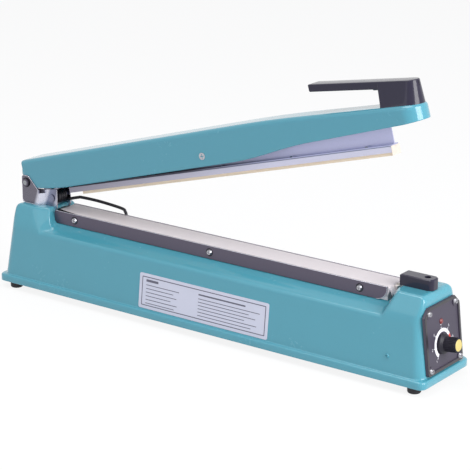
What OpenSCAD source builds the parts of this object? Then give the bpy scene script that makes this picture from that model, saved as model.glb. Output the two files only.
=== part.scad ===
// Hand impulse sealer for plastic film, with a sprung arm, a floating pressure bar and a timer knob.
// Built along X, hinge at the left, handle at the right; Z is up and the bench is at Z = 0.
// The arm is drawn open, as it stands when nobody holds it down.

/* [Base] */
// Length of the base over its lip
base_l = 550; // [520:5:600]
// Width of the base over its lip
base_w = 89; // [86:1:96]
// Height of the lip round the foot of the housing
lip_h = 8; // [6:0.5:10]
// Step from the lip in to the wall
lip_step = 3.6; // [3:0.2:5]
// Lean of the walls from upright, in degrees
draft = 6.3; // [4:0.1:7]
// Thickness of the pressed steel
steel_t = 1.8; // [1.2:0.1:2.2]
// Height of the ridge that carries the jaw, above the lip's underside
ridge_h = 71; // [68:1:74]
// Height of the two end humps above the ridge
hump_rise = 16; // [14:1:20]
// Height of the crease where the shoulders start
crease_h = 62.3; // [58:0.5:64]
// Length of each hump at its top, from the end of the base
hump_l = 45; // [44:0.5:48]
// Corner radius of the lip
lip_r = 7; // [5:0.5:9]
// Height of the rubber feet
foot_h = 8; // [6:0.5:12]
// Diameter of the rubber feet
foot_d = 14.5; // [12:0.5:16]
// Distance of a foot's centre in from the end of the lip
foot_in = 16.2; // [15:0.2:20]
// Distance of a foot's centre in from the side of the lip
foot_side = 11.5; // [11:0.5:14]

/* [Jaw] */
// Gap between the left hump and the jaw, at the hump's top edge
jaw_gap_l = 19.8; // [18:0.2:24]
// Gap between the right hump and the jaw, at the hump's top edge
jaw_gap_r = 15.2; // [14:0.2:20]
// Width of the jaw bar
jaw_w = 29; // [26:0.5:29]
// Height of the jaw bar
jaw_h = 12.4; // [11:0.2:14]
// Width of the heating band
band_w = 3; // [2:0.5:5]
// Thickness of the heating band
band_t = 0.3; // [0.2:0.05:0.4]
// Thickness of the insulating strip under the band
strip_t = 1; // [0.8:0.1:1.4]
// Thickness of the slip cloth over the jaw
cloth_t = 0.25; // [0.15:0.05:0.3]
// Thickness of the steel clamp plates
clamp_t = 1.4; // [1:0.1:1.6]
// Height of the clamp plates
clamp_h = 14; // [12:0.5:14]
// Distance of the first clamp screw from the jaw's left end
clamp_in = 24.6; // [20:0.2:30]
// Diameter of the clamp screws
clamp_screw_d = 3.2; // [2.6:0.1:3.6]
// Length of the cloth past each end of the jaw bar
cloth_over = 6; // [4:0.5:6.5]

/* [Hinge] */
// Distance of the hinge pin from the end of the base
pivot_in = 22; // [21:0.5:24]
// Height of the hinge pin above the humps
pivot_up = 23.4; // [23:0.2:26]
// Diameter of the hinge pin
pivot_d = 6; // [5:0.5:7]
// Angle of the open arm above level, in degrees
arm_open = 16.15; // [12:0.05:20]
// Angle of the pressed arm below level, in degrees
arm_press = 1.5; // [1.2:0.1:1.6]
// Thickness of the bracket's sheet
bracket_t = 1.8; // [1.5:0.1:2]
// Diameter of the spring's shaft
spring_shaft_d = 7; // [6:0.5:7.5]
// Diameter of the lift spring's wire
lift_wire = 3.4; // [3:0.1:3.5]
// Number of turns of the lift spring
lift_turns = 4; // [3:1:4]

/* [Arm] */
// Distance of the arm's nose in from the end of the base
nose_in = 11; // [6:0.5:18]
// Width of the arm
arm_w = 32; // [31:0.5:34]
// Height of the arm's roof above the pin
arm_top = 22.9; // [21.5:0.1:25]
// Depth of the arm's sides below the pin
arm_drop = 12.1; // [10:0.1:12.5]
// Thickness of the arm's sheet
arm_t = 1.5; // [1.2:0.1:1.8]
// Radius of the fold between roof and sides
arm_r = 3; // [2:0.5:6]
// Distance from the pin at which the roof starts to fall
arm_bend = 345; // [330:1:370]
// Fall of the roof towards the nose, in degrees
arm_fall = 2.8; // [2:0.1:3]

/* [Handle] */
// Length of the grip
grip_l = 120; // [100:1:130]
// Thickness of the grip at its free end
grip_t = 7.5; // [6:0.5:9]
// Width of the grip
grip_w = 19; // [16:0.5:22]
// Lean of the grip against the arm, in degrees
grip_lean = 6.3; // [4:0.1:8]
// Width of the riser where it stands on the arm
riser_w = 29; // [26:0.5:29]
// Length of the riser along the arm
riser_l = 40; // [38:1:46]
// Height of the grip above the roof at the nose
grip_h = 23.5; // [22:0.5:30]

/* [Pressure bar] */
// Width of the pressure rail
rail_w = 14.6; // [13:0.2:16]
// Height of the pressure rail
rail_h = 6.3; // [5.5:0.1:7]
// Height of the silicone strip below the rail
pad_t = 3.2; // [2.6:0.1:4]
// Height of the web above the rail
web_h = 17; // [15:0.5:17.5]
// Thickness of the web
web_t = 1.5; // [1.2:0.1:2]
// Distance of the bar's pin from the arm's pin
bar_in = 62; // [60:1:66]
// Height of the bar's pin below the arm's pin
bar_down = 8; // [7.5:0.1:8.2]
// Diameter of the bar's pin and of the guide screw
bar_pin_d = 4; // [3:0.5:4]
// Sag of the free bar against the arm, in degrees
bar_sag = 0.85; // [0.5:0.05:1]
// Distance of the guide screw from the arm's pin
guide_in = 253.6; // [240:0.5:270]

/* [Switch and panel] */
// Length of the switch block
block_l = 36; // [34:1:38]
// Width of the switch block
block_w = 15.2; // [14:0.2:18]
// Height of the switch block
block_h = 11.2; // [10:0.2:12]
// Diameter of the hole for the striker
block_hole = 6.6; // [6.2:0.1:7]
// Diameter of the striker
striker_d = 4; // [3:0.5:4]
// Height of the end panel
panel_h = 67; // [64:1:68]
// Width of the end panel
panel_w = 65; // [62:1:66]
// Thickness of the end panel's rim
panel_t = 2.8; // [2.4:0.1:3.4]
// Height of the dial's centre above the lip's underside
dial_h = 35; // [34:0.5:40]
// Sideways place of the dial and of the lamp
dial_y = -2; // [-4:0.5:4]
// Diameter of the knob's skirt
skirt_d = 20.4; // [16:0.2:21]
// Diameter of the knob's grip
knob_d = 14; // [11:0.5:15]
// Length of the knob from its skirt to its cap
knob_l = 17; // [15:0.5:24]
// Diameter of the timer's shaft
shaft_d = 6; // [5:0.5:6]
// Diameter of the pilot lamp
lamp_d = 5.6; // [4:0.2:6]
// Diameter of the panel screws
panel_screw_d = 3; // [2.6:0.1:3.4]

/* [Hidden] */
$fn = 48;
// clearances
run = 0.05;       // running fit, on the radius
gap = 0.3;        // parts that pass without touching
seat = 0.02;      // parts that rest on the pressed housing
eps = 0.01;
// the housing, measured from its left end and from the lip's underside
lean = tan(draft);
hump_h = ridge_h + hump_rise;
wall_x = lip_step + lean * (hump_h - lip_h);
end_r = 10;
hump_round_y = 11;
hump_round_x = 6;
shoulder_h = hump_h - hump_round_y;
ridge_w = jaw_w;
crease_y = base_w / 2 - lip_step - lean * (crease_h - lip_h);
flank_r = 16;
flank_lean = 20;
ramp_w = 33;
ramp_l = jaw_gap_l - 6.4;
ramp_fall = 4;
foot_x = foot_in;
foot_y = base_w / 2 - foot_side;
plate_t = 1.5;
boss_d = 8;
// the jaw
jaw_x = hump_l + jaw_gap_l;
jaw_l = base_l - jaw_x - hump_l - jaw_gap_r;
jaw_mid = jaw_x + jaw_l / 2;
jaw_top = ridge_h + jaw_h;
band_z = jaw_top + strip_t;
cloth_z = band_z + band_t + 0.05;
cloth_top = cloth_z + cloth_t;
clamp_y = jaw_w / 2 + cloth_t;
clamp_z = cloth_top - clamp_h + 0.1;
clamp_x = jaw_x + clamp_in;
clamp_pitch = (jaw_l - 2 * clamp_in - 6.8) / 2;
clamp_r = 12;
clamp_over = 4;
terminal_l = 5.6;
terminal_w = 14;
// hinge and bracket
pivot_z = hump_h + pivot_up;
ear_y = arm_w / 2 + 0.6;
ear_l = pivot_in - 6.3;
ear_r = ear_l + 23.5;
plate_y = 12;
plate_x = pivot_in + 38;
spring_x = pivot_in + 31;
spring_z = hump_h + 9.2;
coil_r = spring_shaft_d / 2 + 0.6 + lift_wire / 2;
coil_w = (lift_wire + 0.25) * lift_turns;
bracket_hole = 4.2;
// arm
arm_l = base_l - pivot_in - nose_in;
nose_r = arm_w / 2;
bend_l = 56;
sweep_x = arm_bend - 57;
sweep_l = 110;
sweep_up = 8.3;
nose_x = arm_l - nose_r;
// the roof's height above the pin at distance x along the arm
function roof(x) = arm_top - (x < arm_bend ? 0 : tan(arm_fall) * (x - arm_bend));
// the pressure bar, measured from its own pin
swing = arm_open + arm_press;
bar_rise = bar_sag + arm_press;
bar_pin_z = pivot_z - bar_in * sin(arm_press) - bar_down * cos(arm_press);
pad_z = cloth_top + gap - bar_pin_z;
rail_z = pad_z + pad_t;
rail_top = rail_z + rail_h;
rail_x = -11.3;
cap_t = 0.5;
hanger_y = (coil_w - lift_wire) / 2 - gap;
groove_w = rail_w - 2;
groove_h = 1.2;
guide_x = guide_in - bar_in;
guide_z = -1.3;
slot_hi = guide_z + bar_down + guide_x * sin(bar_sag);
slot_lo = guide_z + bar_down - guide_x * tan(arm_press);
press_spring_x = 108;
press_spring_d = 10;
press_wire = 1.2;
seat_z = -1;
// handle
riser_x = arm_l - riser_l;
handle_screw_x = [riser_x + 7, arm_l - 7];
grip_x = arm_l - grip_l;
// switch block and striker
block_x = base_l - 51.3;
hole_x = block_x + 26.8;
// the bar's end swings past the block
swing_gap = 0.83;
rail_l = block_x - swing_gap - cap_t - rail_x - pivot_in - bar_in * cos(arm_press) + bar_down * sin(arm_press);
striker_x = hole_x - pivot_in;
plunger_d = block_hole - 2 * run - 0.3;
plunger_top = hump_h + block_h - 2.6;
striker_tip = plunger_top + gap - pivot_z + striker_x * sin(arm_press);
plunger_travel = 2;
// end panel, measured from the foot of the end wall along the leaning wall
panel_x0 = base_l - lip_step;
panel_z0 = 1.6;
panel_chamfer = 8;
panel_rim = 3.4;
panel_recess = 0.9;
screw_y = 0.8;
screw_top_y = 24.2;
screw_bot_y = 27;
screw_top_h = 62.3;
screw_bot_h = 6;
dial_up = (dial_h - lip_h) / cos(draft);
lamp_up = dial_up + 22.5;
knob_gap = 1;
skirt_h = 4;
cap_d = knob_d - 2;
knob_base = panel_t - panel_recess + knob_gap;
// inside the base
core_x = base_l - 250;
core_l = 84;
core_under = 9;   // from the top of the core up to the ridge
core_h = ridge_h - core_under;
core_t = 36;
limb = 14;
board_x = base_l - 92;
board_l = 62;
board_w = 52;
standoff_h = 6;
gland_x = base_l - 80;
gland_z = 24;
gland_d = 11;
gland_out = 4.6;
side_screw_x = base_l - 44;
side_screw_z = 25;

// halfway between the left end of the base and the tip of the knob
tip_x = panel_x0 - dial_up * sin(draft) + (seat + knob_base + knob_l + 0.5) * cos(draft) + (cap_d - 1.5) / 2 * sin(draft);
mid_x = tip_x / 2;

// Frames of reference

// places what is measured from the left end of the base and from the lip's underside; X = 0 is halfway
// between that end and the tip of the knob
module in_base() translate([-mid_x, 0, foot_h]) children();

// places what is measured from the hinge pin along the open arm
module on_arm() in_base() translate([pivot_in, 0, pivot_z]) rotate([0, -arm_open, 0]) children();

// places what is measured from the bar's own pin along the sagging bar
module on_bar() on_arm() translate([bar_in, 0, -bar_down]) rotate([0, bar_sag, 0]) children();

// places what is measured from the foot of the end wall, X straight out of the wall
module on_end() in_base() translate([panel_x0, 0, lip_h]) rotate([0, -draft, 0]) translate([seat, 0, 0]) children();

// Shared shapes

// a flat rectangle with round corners, centred
module round_rect(l, w, r) {
    square([l - 2 * r, w], center = true);
    square([l, w - 2 * r], center = true);
    for (x = [-1, 1], y = [-1, 1]) translate([x * (l / 2 - r), y * (w / 2 - r)]) circle(r);
}

// a round bar along Y, centred
module y_bar(d, l) rotate([90, 0, 0]) cylinder(d = d, h = l, center = true);

// a pan-head screw pointing down, its head seated at Z = 0
module pan_screw(d, l) {
    translate([0, 0, -l]) cylinder(d = d, h = l + eps);
    difference() {
        cylinder(d1 = 2 * d, d2 = 1.5 * d, h = 0.6 * d);
        translate([0, 0, 0.45 * d]) cube([1.2 * d, 0.25 * d, 0.4 * d], center = true);
        translate([0, 0, 0.45 * d]) cube([0.25 * d, 1.2 * d, 0.4 * d], center = true);
    }
}

// points of an arc in a plane
function arc(cx, cz, r, a0, a1, n) = [for (i = [0:n]) let (a = a0 + (a1 - a0) * i / n) [cx + r * cos(a), cz + r * sin(a)]];

function unit(v) = v / norm(v);

// a round wire swept along points; side gives a direction that the wire never runs along
module wire(points, d, side, n = 8) {
    last = len(points) - 1;
    rings = [for (i = [0:last])
        let (t = unit(points[min(i + 1, last)] - points[max(i - 1, 0)]), u = unit(cross(side, t)), v = cross(t, u))
        [for (k = [0:n - 1]) points[i] + d / 2 * (cos(360 * k / n) * u + sin(360 * k / n) * v)]];
    polyhedron(
        points = [for (ring = rings) each ring],
        faces = concat(
            [[for (k = [0:n - 1]) k]],
            [[for (k = [n - 1:-1:0]) last * n + k]],
            [for (i = [0:last - 1], k = [0:n - 1]) let (a = i * n + k, b = i * n + (k + 1) % n) [a, a + n, b + n]],
            [for (i = [0:last - 1], k = [0:n - 1]) let (a = i * n + k, b = i * n + (k + 1) % n) [a, b + n, b]]),
        convexity = 10);
}

// Base

// the drafted body of the housing without its saddle, smaller by t all round
module body_block(t) {
    steps = [for (i = [0:4]) 22.5 * i];
    layers = concat([[0, 0, lip_h - 2]], [for (a = steps) [
        hump_round_x * (1 - cos(a)), hump_round_y * (1 - cos(a)), shoulder_h + (hump_h - shoulder_h) * sin(a)]]);
    hull() for (p = layers) {
        in = lip_step + lean * (p[2] - t - lip_h) + t;
        translate([base_l / 2, 0, p[2] - t - eps]) linear_extrude(eps)
            round_rect(base_l - 2 * (in + p[0]), base_w - 2 * (in + p[1]), max(end_r - t, 4), $fn = 32);
    }
}

// what the saddle takes off between the humps, larger by t all round
module saddle(t) {
    slope = (ridge_h - crease_h) / (crease_y - ridge_w / 2);
    far = base_w;
    x0 = hump_l - t;
    x1 = base_l - hump_l + t;
    z0 = crease_h - t;
    inset = (hump_h - z0 - flank_r * (1 - sin(flank_lean))) * tan(flank_lean) + flank_r * cos(flank_lean);
    difference() {
        intersection() {
            rotate([90, 0, 90]) linear_extrude(base_l) polygon([
                [-far, ridge_h - t - slope * (far - ridge_w / 2)], [-ridge_w / 2, ridge_h - t],
                [ridge_w / 2, ridge_h - t], [far, ridge_h - t - slope * (far - ridge_w / 2)],
                [far, hump_h + 20], [-far, hump_h + 20]]);
            translate([0, base_w, 0]) rotate([90, 0, 0]) linear_extrude(2 * base_w) polygon(concat(
                [[x0 - 20 * tan(flank_lean), hump_h + 20]],
                arc(x0 + inset, z0 + flank_r, flank_r, 180 + flank_lean, 270, 6),
                arc(x1 - inset, z0 + flank_r, flank_r, 270, 360 - flank_lean, 6),
                [[x1 + 20 * tan(flank_lean), hump_h + 20]]));
        }
        ramp(t);
    }
}

// the ramp behind the bracket that runs down from the left hump, smaller by t
module ramp(t) translate([0, ramp_w / 2 - t, 0]) rotate([90, 0, 0]) linear_extrude(ramp_w - 2 * t)
    polygon([[hump_l - 12, 0], [hump_l - 12, hump_h - t], [hump_l - 3, hump_h - t],
        [hump_l + ramp_l - 1.5 * t, hump_h - ramp_fall - t], [hump_l + ramp_l - 1.5 * t, 0]]);

module housing_form(t) difference() {
    body_block(t);
    saddle(t);
}

module lip() {
    translate([base_l / 2, 0, 0]) linear_extrude(lip_h - 2) round_rect(base_l, base_w, lip_r);
    translate([base_l / 2, 0, 0]) hull() {
        translate([0, 0, lip_h - 2]) linear_extrude(eps) round_rect(base_l, base_w, lip_r, $fn = 32);
        translate([0, 0, lip_h]) linear_extrude(eps) round_rect(base_l - 3, base_w - 3, lip_r - 1.5, $fn = 32);
    }
}

module at_feet() for (x = [foot_x, base_l - foot_x], y = [-foot_y, foot_y]) translate([x, y, 0]) children();

module base_housing() color("#5f9db3") in_base() difference() {
    union() {
        difference() {
            union() {
                lip();
                housing_form(0);
            }
            housing_form(steel_t);
            translate([base_l / 2, 0, -1]) linear_extrude(lip_h - steel_t + 1)
                round_rect(base_l - 2 * steel_t, base_w - 2 * steel_t, lip_r - steel_t);
        }
        intersection() {
            at_feet() translate([0, 0, plate_t + gap]) cylinder(d = boss_d, h = 26);
            body_block(steel_t / 2);
        }
    }
    at_feet() cylinder(d = 2.8, h = 16);
    at_bracket_screws() translate([0, 0, hump_h - 10]) cylinder(d = 3.4, h = 20);
    at_jaw_screws() translate([0, 0, ridge_h - 10]) cylinder(d = bracket_hole, h = 20);
    translate([hole_x, 0, hump_h - 10]) cylinder(d = block_hole, h = 20);
    translate([side_screw_x, 0, side_screw_z]) y_bar(3, 2 * base_w);
    at_gland() cylinder(d = gland_d, h = 20, center = true);
    translate([panel_x0, 0, lip_h]) rotate([0, -draft, 0]) {
        translate([-8, dial_y, dial_up]) rotate([0, 90, 0]) cylinder(d = 7.4, h = 16);
        translate([-8, dial_y, lamp_up]) rotate([0, 90, 0]) cylinder(d = lamp_d + 0.6, h = 16);
        at_panel_screws() translate([-8, 0, 0]) rotate([0, 90, 0]) cylinder(d = panel_screw_d, h = 16);
    }
}

module bottom_plate() color("#8e9296") in_base() difference() {
    translate([base_l / 2, 0, 0]) linear_extrude(plate_t)
        round_rect(base_l - 2 * (steel_t + gap), base_w - 2 * (steel_t + gap), lip_r - steel_t - gap);
    at_feet() translate([0, 0, -1]) cylinder(d = 3.4, h = plate_t + 2);
    for (i = [0:11], y = [-1, 1]) translate([core_x + core_l / 2 - 33 + 6 * i, y * 25, -1])
        linear_extrude(plate_t + 2) round_rect(2.4, 14, 1.1, $fn = 24);
    at_core_screws() translate([0, 0, -1]) cylinder(d = 4.3, h = plate_t + 2);
}

module rubber_feet() color("#26262a") in_base() at_feet() difference() {
    translate([0, 0, -foot_h]) rotate_extrude() polygon(concat(
        [[0, 0]], arc(foot_d / 2 - 2, 1.5, 1.5, -90, 0, 4), [[foot_d / 2, foot_h], [0, foot_h]]));
    translate([0, 0, -foot_h - 1]) cylinder(d = 7, h = 4.5);
    translate([0, 0, -foot_h - 1]) cylinder(d = 3.4, h = foot_h + 2);
}

module foot_screws() color("silver") in_base() at_feet() translate([0, 0, 3.5 - foot_h]) mirror([0, 0, 1])
    pan_screw(2.8 - 2 * run, foot_h + 8);

// Hinge

module at_bracket_screws() for (y = [-8, 8]) translate([pivot_in + 4, y, 0]) children();

// outline of one ear, seen from the front
module ear_shape() polygon(concat(
    arc(ear_l + 3, hump_h + seat + 3, 3, 180, 270, 4), [[ear_r, hump_h + seat], [ear_r, pivot_z - 6]],
    arc(ear_l + 8, pivot_z + 3.8, 4, 40, 90, 4), arc(ear_l + 3, pivot_z + 4.8, 3, 90, 180, 4)));

// one side of the bracket: ear, joggle and inner plate, in front view
module bracket_side() {
    z_low = hump_h + gap;
    difference() {
        union() {
            translate([0, -ear_y, 0]) rotate([90, 0, 0]) linear_extrude(bracket_t) ear_shape();
            translate([0, 0, z_low]) linear_extrude(pivot_z - z_low - 10) polygon([
                [ear_r - 1, -ear_y - bracket_t], [ear_r, -ear_y - bracket_t],
                [ear_r + 5, -plate_y], [plate_x, -plate_y], [plate_x, -plate_y + bracket_t],
                [ear_r + 4, -plate_y + bracket_t], [ear_r - 1, -ear_y]]);
            translate([0, -plate_y + bracket_t, 0]) rotate([90, 0, 0]) linear_extrude(bracket_t) polygon([
                [ear_r - 7, z_low], [hump_l + gap, z_low],
                [hump_l + ramp_l - 1, hump_h - ramp_fall + gap],
                [jaw_x - cloth_over - gap, hump_h - ramp_fall + gap],
                [jaw_x - cloth_over - gap, cloth_top + gap], [plate_x, cloth_top + gap],
                [plate_x, pivot_z - 3], [ear_r + 5, pivot_z - 6], [ear_r - 7, pivot_z - 7]]);
        }
        translate([pivot_in, 0, pivot_z]) y_bar(pivot_d + 2 * run, base_w);
        translate([spring_x, 0, spring_z]) y_bar(spring_shaft_d + 2 * run, base_w);
    }
}

module hinge_bracket() color("#a9abb2") in_base() difference() {
    union() {
        bracket_side();
        mirror([0, 1, 0]) bracket_side();
        translate([ear_l + 3, -ear_y - bracket_t, hump_h + seat])
            cube([ear_r - ear_l - 3, 2 * (ear_y + bracket_t), bracket_t]);
    }
    at_bracket_screws() translate([0, 0, hump_h - 1]) cylinder(d = bracket_hole, h = 10);
}

module bracket_screws() color("silver") in_base() at_bracket_screws() translate([0, 0, hump_h + seat + bracket_t])
    pan_screw(3.4 - 2 * run, 9);

module hinge_pin() color("gainsboro") in_base() translate([pivot_in, 0, pivot_z]) {
    y_bar(pivot_d, 2 * (ear_y + bracket_t + gap));
    for (s = [-1, 1]) translate([0, s * (ear_y + bracket_t + 1.2), 0]) difference() {
        y_bar(pivot_d + 2.6, 2);
        translate([0, s, 0]) cube([pivot_d, 1.2, 1.1], center = true);
        translate([0, s, 0]) cube([1.1, 1.2, pivot_d], center = true);
    }
}

module spring_shaft() color("gainsboro") in_base() translate([spring_x, 0, spring_z]) {
    y_bar(spring_shaft_d, 2 * (plate_y + 1));
    for (s = [-1, 1]) translate([0, s * (plate_y + 0.6), 0]) y_bar(spring_shaft_d + 1.6, 0.8);
}

// the lift spring: a long leg down behind the jaw, the coil, and a leg up under the arm's roof
module lift_spring() color("#2b2b30") in_base() {
    y0 = coil_w / 2;
    steps = 18 * lift_turns + 6;
    back = jaw_w / 2 + clamp_t + lift_wire / 2 + 0.9;
    low_leg = [
        [spring_x + 81, back, ridge_h + 1], [spring_x + 81, back, cloth_top - 2],
        [spring_x + 79, back, cloth_top + 3], [spring_x + 74, back, cloth_top + 5.5],
        [spring_x + 44, back - 0.6, cloth_top + 8], [spring_x + 22, back - 4.5, cloth_top + 9.6],
        [spring_x + 17, back - 6.2, cloth_top + 9.2], [spring_x + 9.5, y0 + 0.4, cloth_top + 7.6]];
    coil = [for (i = [0:steps]) let (a = -70 - 20 * i)
        [spring_x + coil_r * cos(a), y0 - coil_w * i / steps, spring_z + coil_r * sin(a)]];
    high_leg = [for (p = [[38, 2], [62, 8.5], [92, arm_top - arm_t - lift_wire], [104, arm_top - arm_t - lift_wire / 2 - gap],
        [112, arm_top - arm_t - lift_wire]])
        [pivot_in + p[0] * cos(arm_open) - p[1] * sin(arm_open), -y0,
            pivot_z + p[0] * sin(arm_open) + p[1] * cos(arm_open)]];
    wire(concat(low_leg, coil, high_leg), lift_wire, [0, 1, 0]);
}

// Jaw

module at_jaw_screws() for (i = [-1:1]) translate([jaw_mid + i * 0.4 * jaw_l, 0, 0]) children();

module jaw_bar() color("#b9bcc2") in_base() difference() {
    translate([jaw_x, -jaw_w / 2, ridge_h]) cube([jaw_l, jaw_w, jaw_h]);
    at_jaw_screws() translate([0, 0, ridge_h - 1]) cylinder(d = 3.4, h = 9);
    at_clamp_screws() y_bar(clamp_screw_d, jaw_w + 20);
}

module jaw_screws() color("silver") in_base() at_jaw_screws() translate([0, 0, ridge_h - steel_t]) mirror([0, 0, 1])
    pan_screw(3.4 - 2 * run, steel_t + 7);

module insulating_strip() color("#d8cbb0") in_base()
    translate([jaw_x, -jaw_w / 2 + 3, jaw_top]) cube([jaw_l, jaw_w - 6, strip_t]);

module heating_band() color("#8b8880") in_base()
    translate([jaw_x - terminal_l, -band_w / 2, band_z]) cube([jaw_l + 2 * terminal_l, band_w, band_t]);

module slip_cloth() color("#e4d6cb") in_base() difference() {
    translate([jaw_x - cloth_over, 0, 0]) rotate([90, 0, 90]) linear_extrude(jaw_l + 2 * cloth_over) polygon([
        [-clamp_y, clamp_z + 2], [-clamp_y, cloth_top], [clamp_y, cloth_top], [clamp_y, clamp_z + 2],
        [jaw_w / 2, clamp_z + 2], [jaw_w / 2, cloth_z], [-jaw_w / 2, cloth_z], [-jaw_w / 2, clamp_z + 2]]);
    at_clamp_screws() y_bar(clamp_screw_d + 0.6, jaw_w + 20);
}

module at_clamp_screws() for (i = [0:2]) translate([clamp_x + i * clamp_pitch, 0, clamp_z + clamp_h / 2]) children();

// a clamp plate in front view: small round corners at the hinge end, its lower corner rounded away at the hump
module clamp_shape() difference() {
    polygon(concat(arc(jaw_x - clamp_over + 2, clamp_z + clamp_h - 2, 2, 90, 180, 3),
        arc(jaw_x - clamp_over + 4, clamp_z + 4, 4, 180, 270, 4),
        arc(jaw_x + jaw_l - clamp_r, clamp_z + clamp_r, clamp_r, -90, 0, 8),
        [[jaw_x + jaw_l, clamp_z + clamp_h]]));
    for (i = [0:2]) translate([clamp_x + i * clamp_pitch, clamp_z + clamp_h / 2])
        circle(d = clamp_screw_d + 0.6);
}

module front_clamp_plate() color("#a7a8b0") in_base() translate([0, -clamp_y, 0]) rotate([90, 0, 0])
    linear_extrude(clamp_t) clamp_shape();

module rear_clamp_plate() color("#a7a8b0") in_base() translate([0, clamp_y + clamp_t, 0]) rotate([90, 0, 0])
    linear_extrude(clamp_t) clamp_shape();

module clamp_screws() color("gainsboro") in_base() at_clamp_screws() for (s = [0, 180]) rotate([0, 0, s])
    translate([0, -clamp_y - clamp_t, 0]) rotate([90, 0, 0]) pan_screw(clamp_screw_d - 2 * run, 7);

module terminal(x) color("#b99a4e") in_base() translate([x, -terminal_w / 2, ridge_h]) {
    difference() {
        cube([terminal_l, terminal_w, jaw_h + strip_t]);
        translate([terminal_l / 2, terminal_w / 2, 4]) y_bar(2.4, 2 * terminal_w);
    }
}
module left_terminal() terminal(jaw_x - terminal_l - gap);
module right_terminal() terminal(jaw_x + jaw_l + gap);

// Switch

module switch_block() color("#3a3a42") in_base() difference() {
    translate([block_x, 0, hump_h]) hull() {
        linear_extrude(block_h - 1) block_outline(0);
        linear_extrude(block_h) block_outline(1);
    }
    translate([hole_x, 0, hump_h - 1]) cylinder(d = block_hole, h = block_h + 2);
}

module block_outline(t) {
    r = 5 - t;
    translate([t, -block_w / 2 + t]) square([block_l / 2, block_w - 2 * t]);
    for (s = [-1, 1]) translate([block_l - 5, s * (block_w / 2 - 5)]) circle(r, $fn = 32);
    translate([block_l - 5 - eps, -block_w / 2 + 5]) square([5 - t, block_w - 10]);
}

module switch_plunger() color("#202024") in_base() translate([hole_x, 0, 0]) {
    translate([0, 0, hump_h - steel_t]) cylinder(d = plunger_d, h = plunger_top - hump_h + steel_t - 0.6);
    translate([0, 0, plunger_top - 0.6]) cylinder(d1 = plunger_d, d2 = plunger_d - 1.2, h = 0.6);
    translate([0, 0, hump_h - steel_t - 3]) cylinder(d = 2.4, h = 3 + eps);
}

module microswitch() color("#303036") in_base() {
    top = hump_h - steel_t - gap;
    difference() {
        translate([hole_x - 15, -4, top - 13]) cube([19, 8, 13]);
        translate([hole_x, 0, top - 7]) cylinder(d = plunger_d + 1, h = 8);
        for (s = [-1, 1]) translate([hole_x - 5.5 + 6.5 * s, 0, top - 10]) y_bar(2.4, 20);
    }
    for (s = [-1, 0, 1]) translate([hole_x - 5.9 + 6 * s, -1.6, top - 18]) cube([0.8, 3.2, 5 + eps]);
}

// Inside the base

module at_core_screws() for (x = [-6, core_l + 6], y = [-1, 1])
    translate([core_x + x, y * (core_t / 2 - 6), 0]) children();

module transformer_core() color("#6b6d72") in_base() {
    difference() {
        translate([core_x, core_t / 2, plate_t]) rotate([90, 0, 0]) linear_extrude(core_t) difference() {
            square([core_l, core_h]);
            for (s = [0, 1]) translate([limb + s * (core_l - 3 * limb) / 2 + s * limb, limb])
                square([(core_l - 3 * limb) / 2, core_h - 2 * limb]);
        }
    }
    for (x = [-12, core_l]) difference() {
        translate([core_x + x, -core_t / 2, plate_t]) cube([12, core_t, 2]);
        at_core_screws() translate([0, 0, -1]) cylinder(d = 4.3, h = 10);
    }
}

module transformer_coil() color("#c9a24a") in_base() translate([core_x + core_l / 2, 0, plate_t + limb + gap])
    linear_extrude(core_h - 2 * limb - 2 * gap) difference() {
        round_rect(limb + (core_l - 3 * limb) - 2 * gap, core_t + 20, 6);
        square([limb + 2 * gap, core_t + 2 * gap], center = true);
    }

module transformer_screws() color("silver") in_base() at_core_screws() translate([0, 0, plate_t + 2])
    pan_screw(4, plate_t + 1.6);

module at_board_posts() for (x = [4, board_l - 4], y = [-1, 1])
    translate([board_x + x, y * (board_w / 2 - 4), plate_t]) children();

module board_posts() color("gainsboro") in_base() at_board_posts() difference() {
    cylinder(d = 6, h = standoff_h, $fn = 6);
    translate([0, 0, -1]) cylinder(d = 3, h = standoff_h + 2);
}

module timer_board() color("#3f7a4b") in_base() difference() {
    translate([board_x, -board_w / 2, plate_t + standoff_h]) cube([board_l, board_w, 1.6]);
    at_board_posts() cylinder(d = 3, h = 20);
}

module board_parts() color("#35353c") in_base() translate([board_x, 0, plate_t + standoff_h + 1.6]) {
    translate([14, -14, 0]) cube([19, 15, 15]);
    translate([40, -12, 0]) cylinder(d = 10, h = 16);
    translate([40, 4, 0]) cylinder(d = 8, h = 12);
    translate([20, 14, 0]) cube([10, 6, 4]);
    translate([46, 14, 0]) cube([10, 8, 9]);
}

module timer_pot() color("#55585f") on_end() translate([-steel_t, dial_y, dial_up]) rotate([0, 90, 0]) {
    translate([0, 0, -9]) cylinder(d = 17, h = 9 - eps);
    cylinder(d = 7, h = steel_t + panel_t - panel_recess);
    cylinder(d = shaft_d, h = steel_t + knob_base + 9);
    for (y = [-1:1]) translate([9, 3.5 * y - 0.7, -5]) cube([6, 1.4, 0.8]);
}

module pilot_lamp() color("#c01c1c") on_end() translate([-steel_t - 8, dial_y, lamp_up]) rotate([0, 90, 0]) {
    cylinder(d = lamp_d, h = 8 + steel_t + panel_t - panel_recess);
    translate([0, 0, 8 + steel_t + panel_t - panel_recess]) scale([1, 1, 0.6]) intersection() {
        sphere(d = lamp_d);
        cylinder(d = 2 * lamp_d, h = lamp_d);
    }
}

// End panel and knob

module at_panel_screws() for (s = [-1, 1]) {
    translate([0, screw_y + s * screw_top_y, screw_top_h]) children();
    translate([0, screw_y + s * screw_bot_y, screw_bot_h]) children();
}

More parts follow.
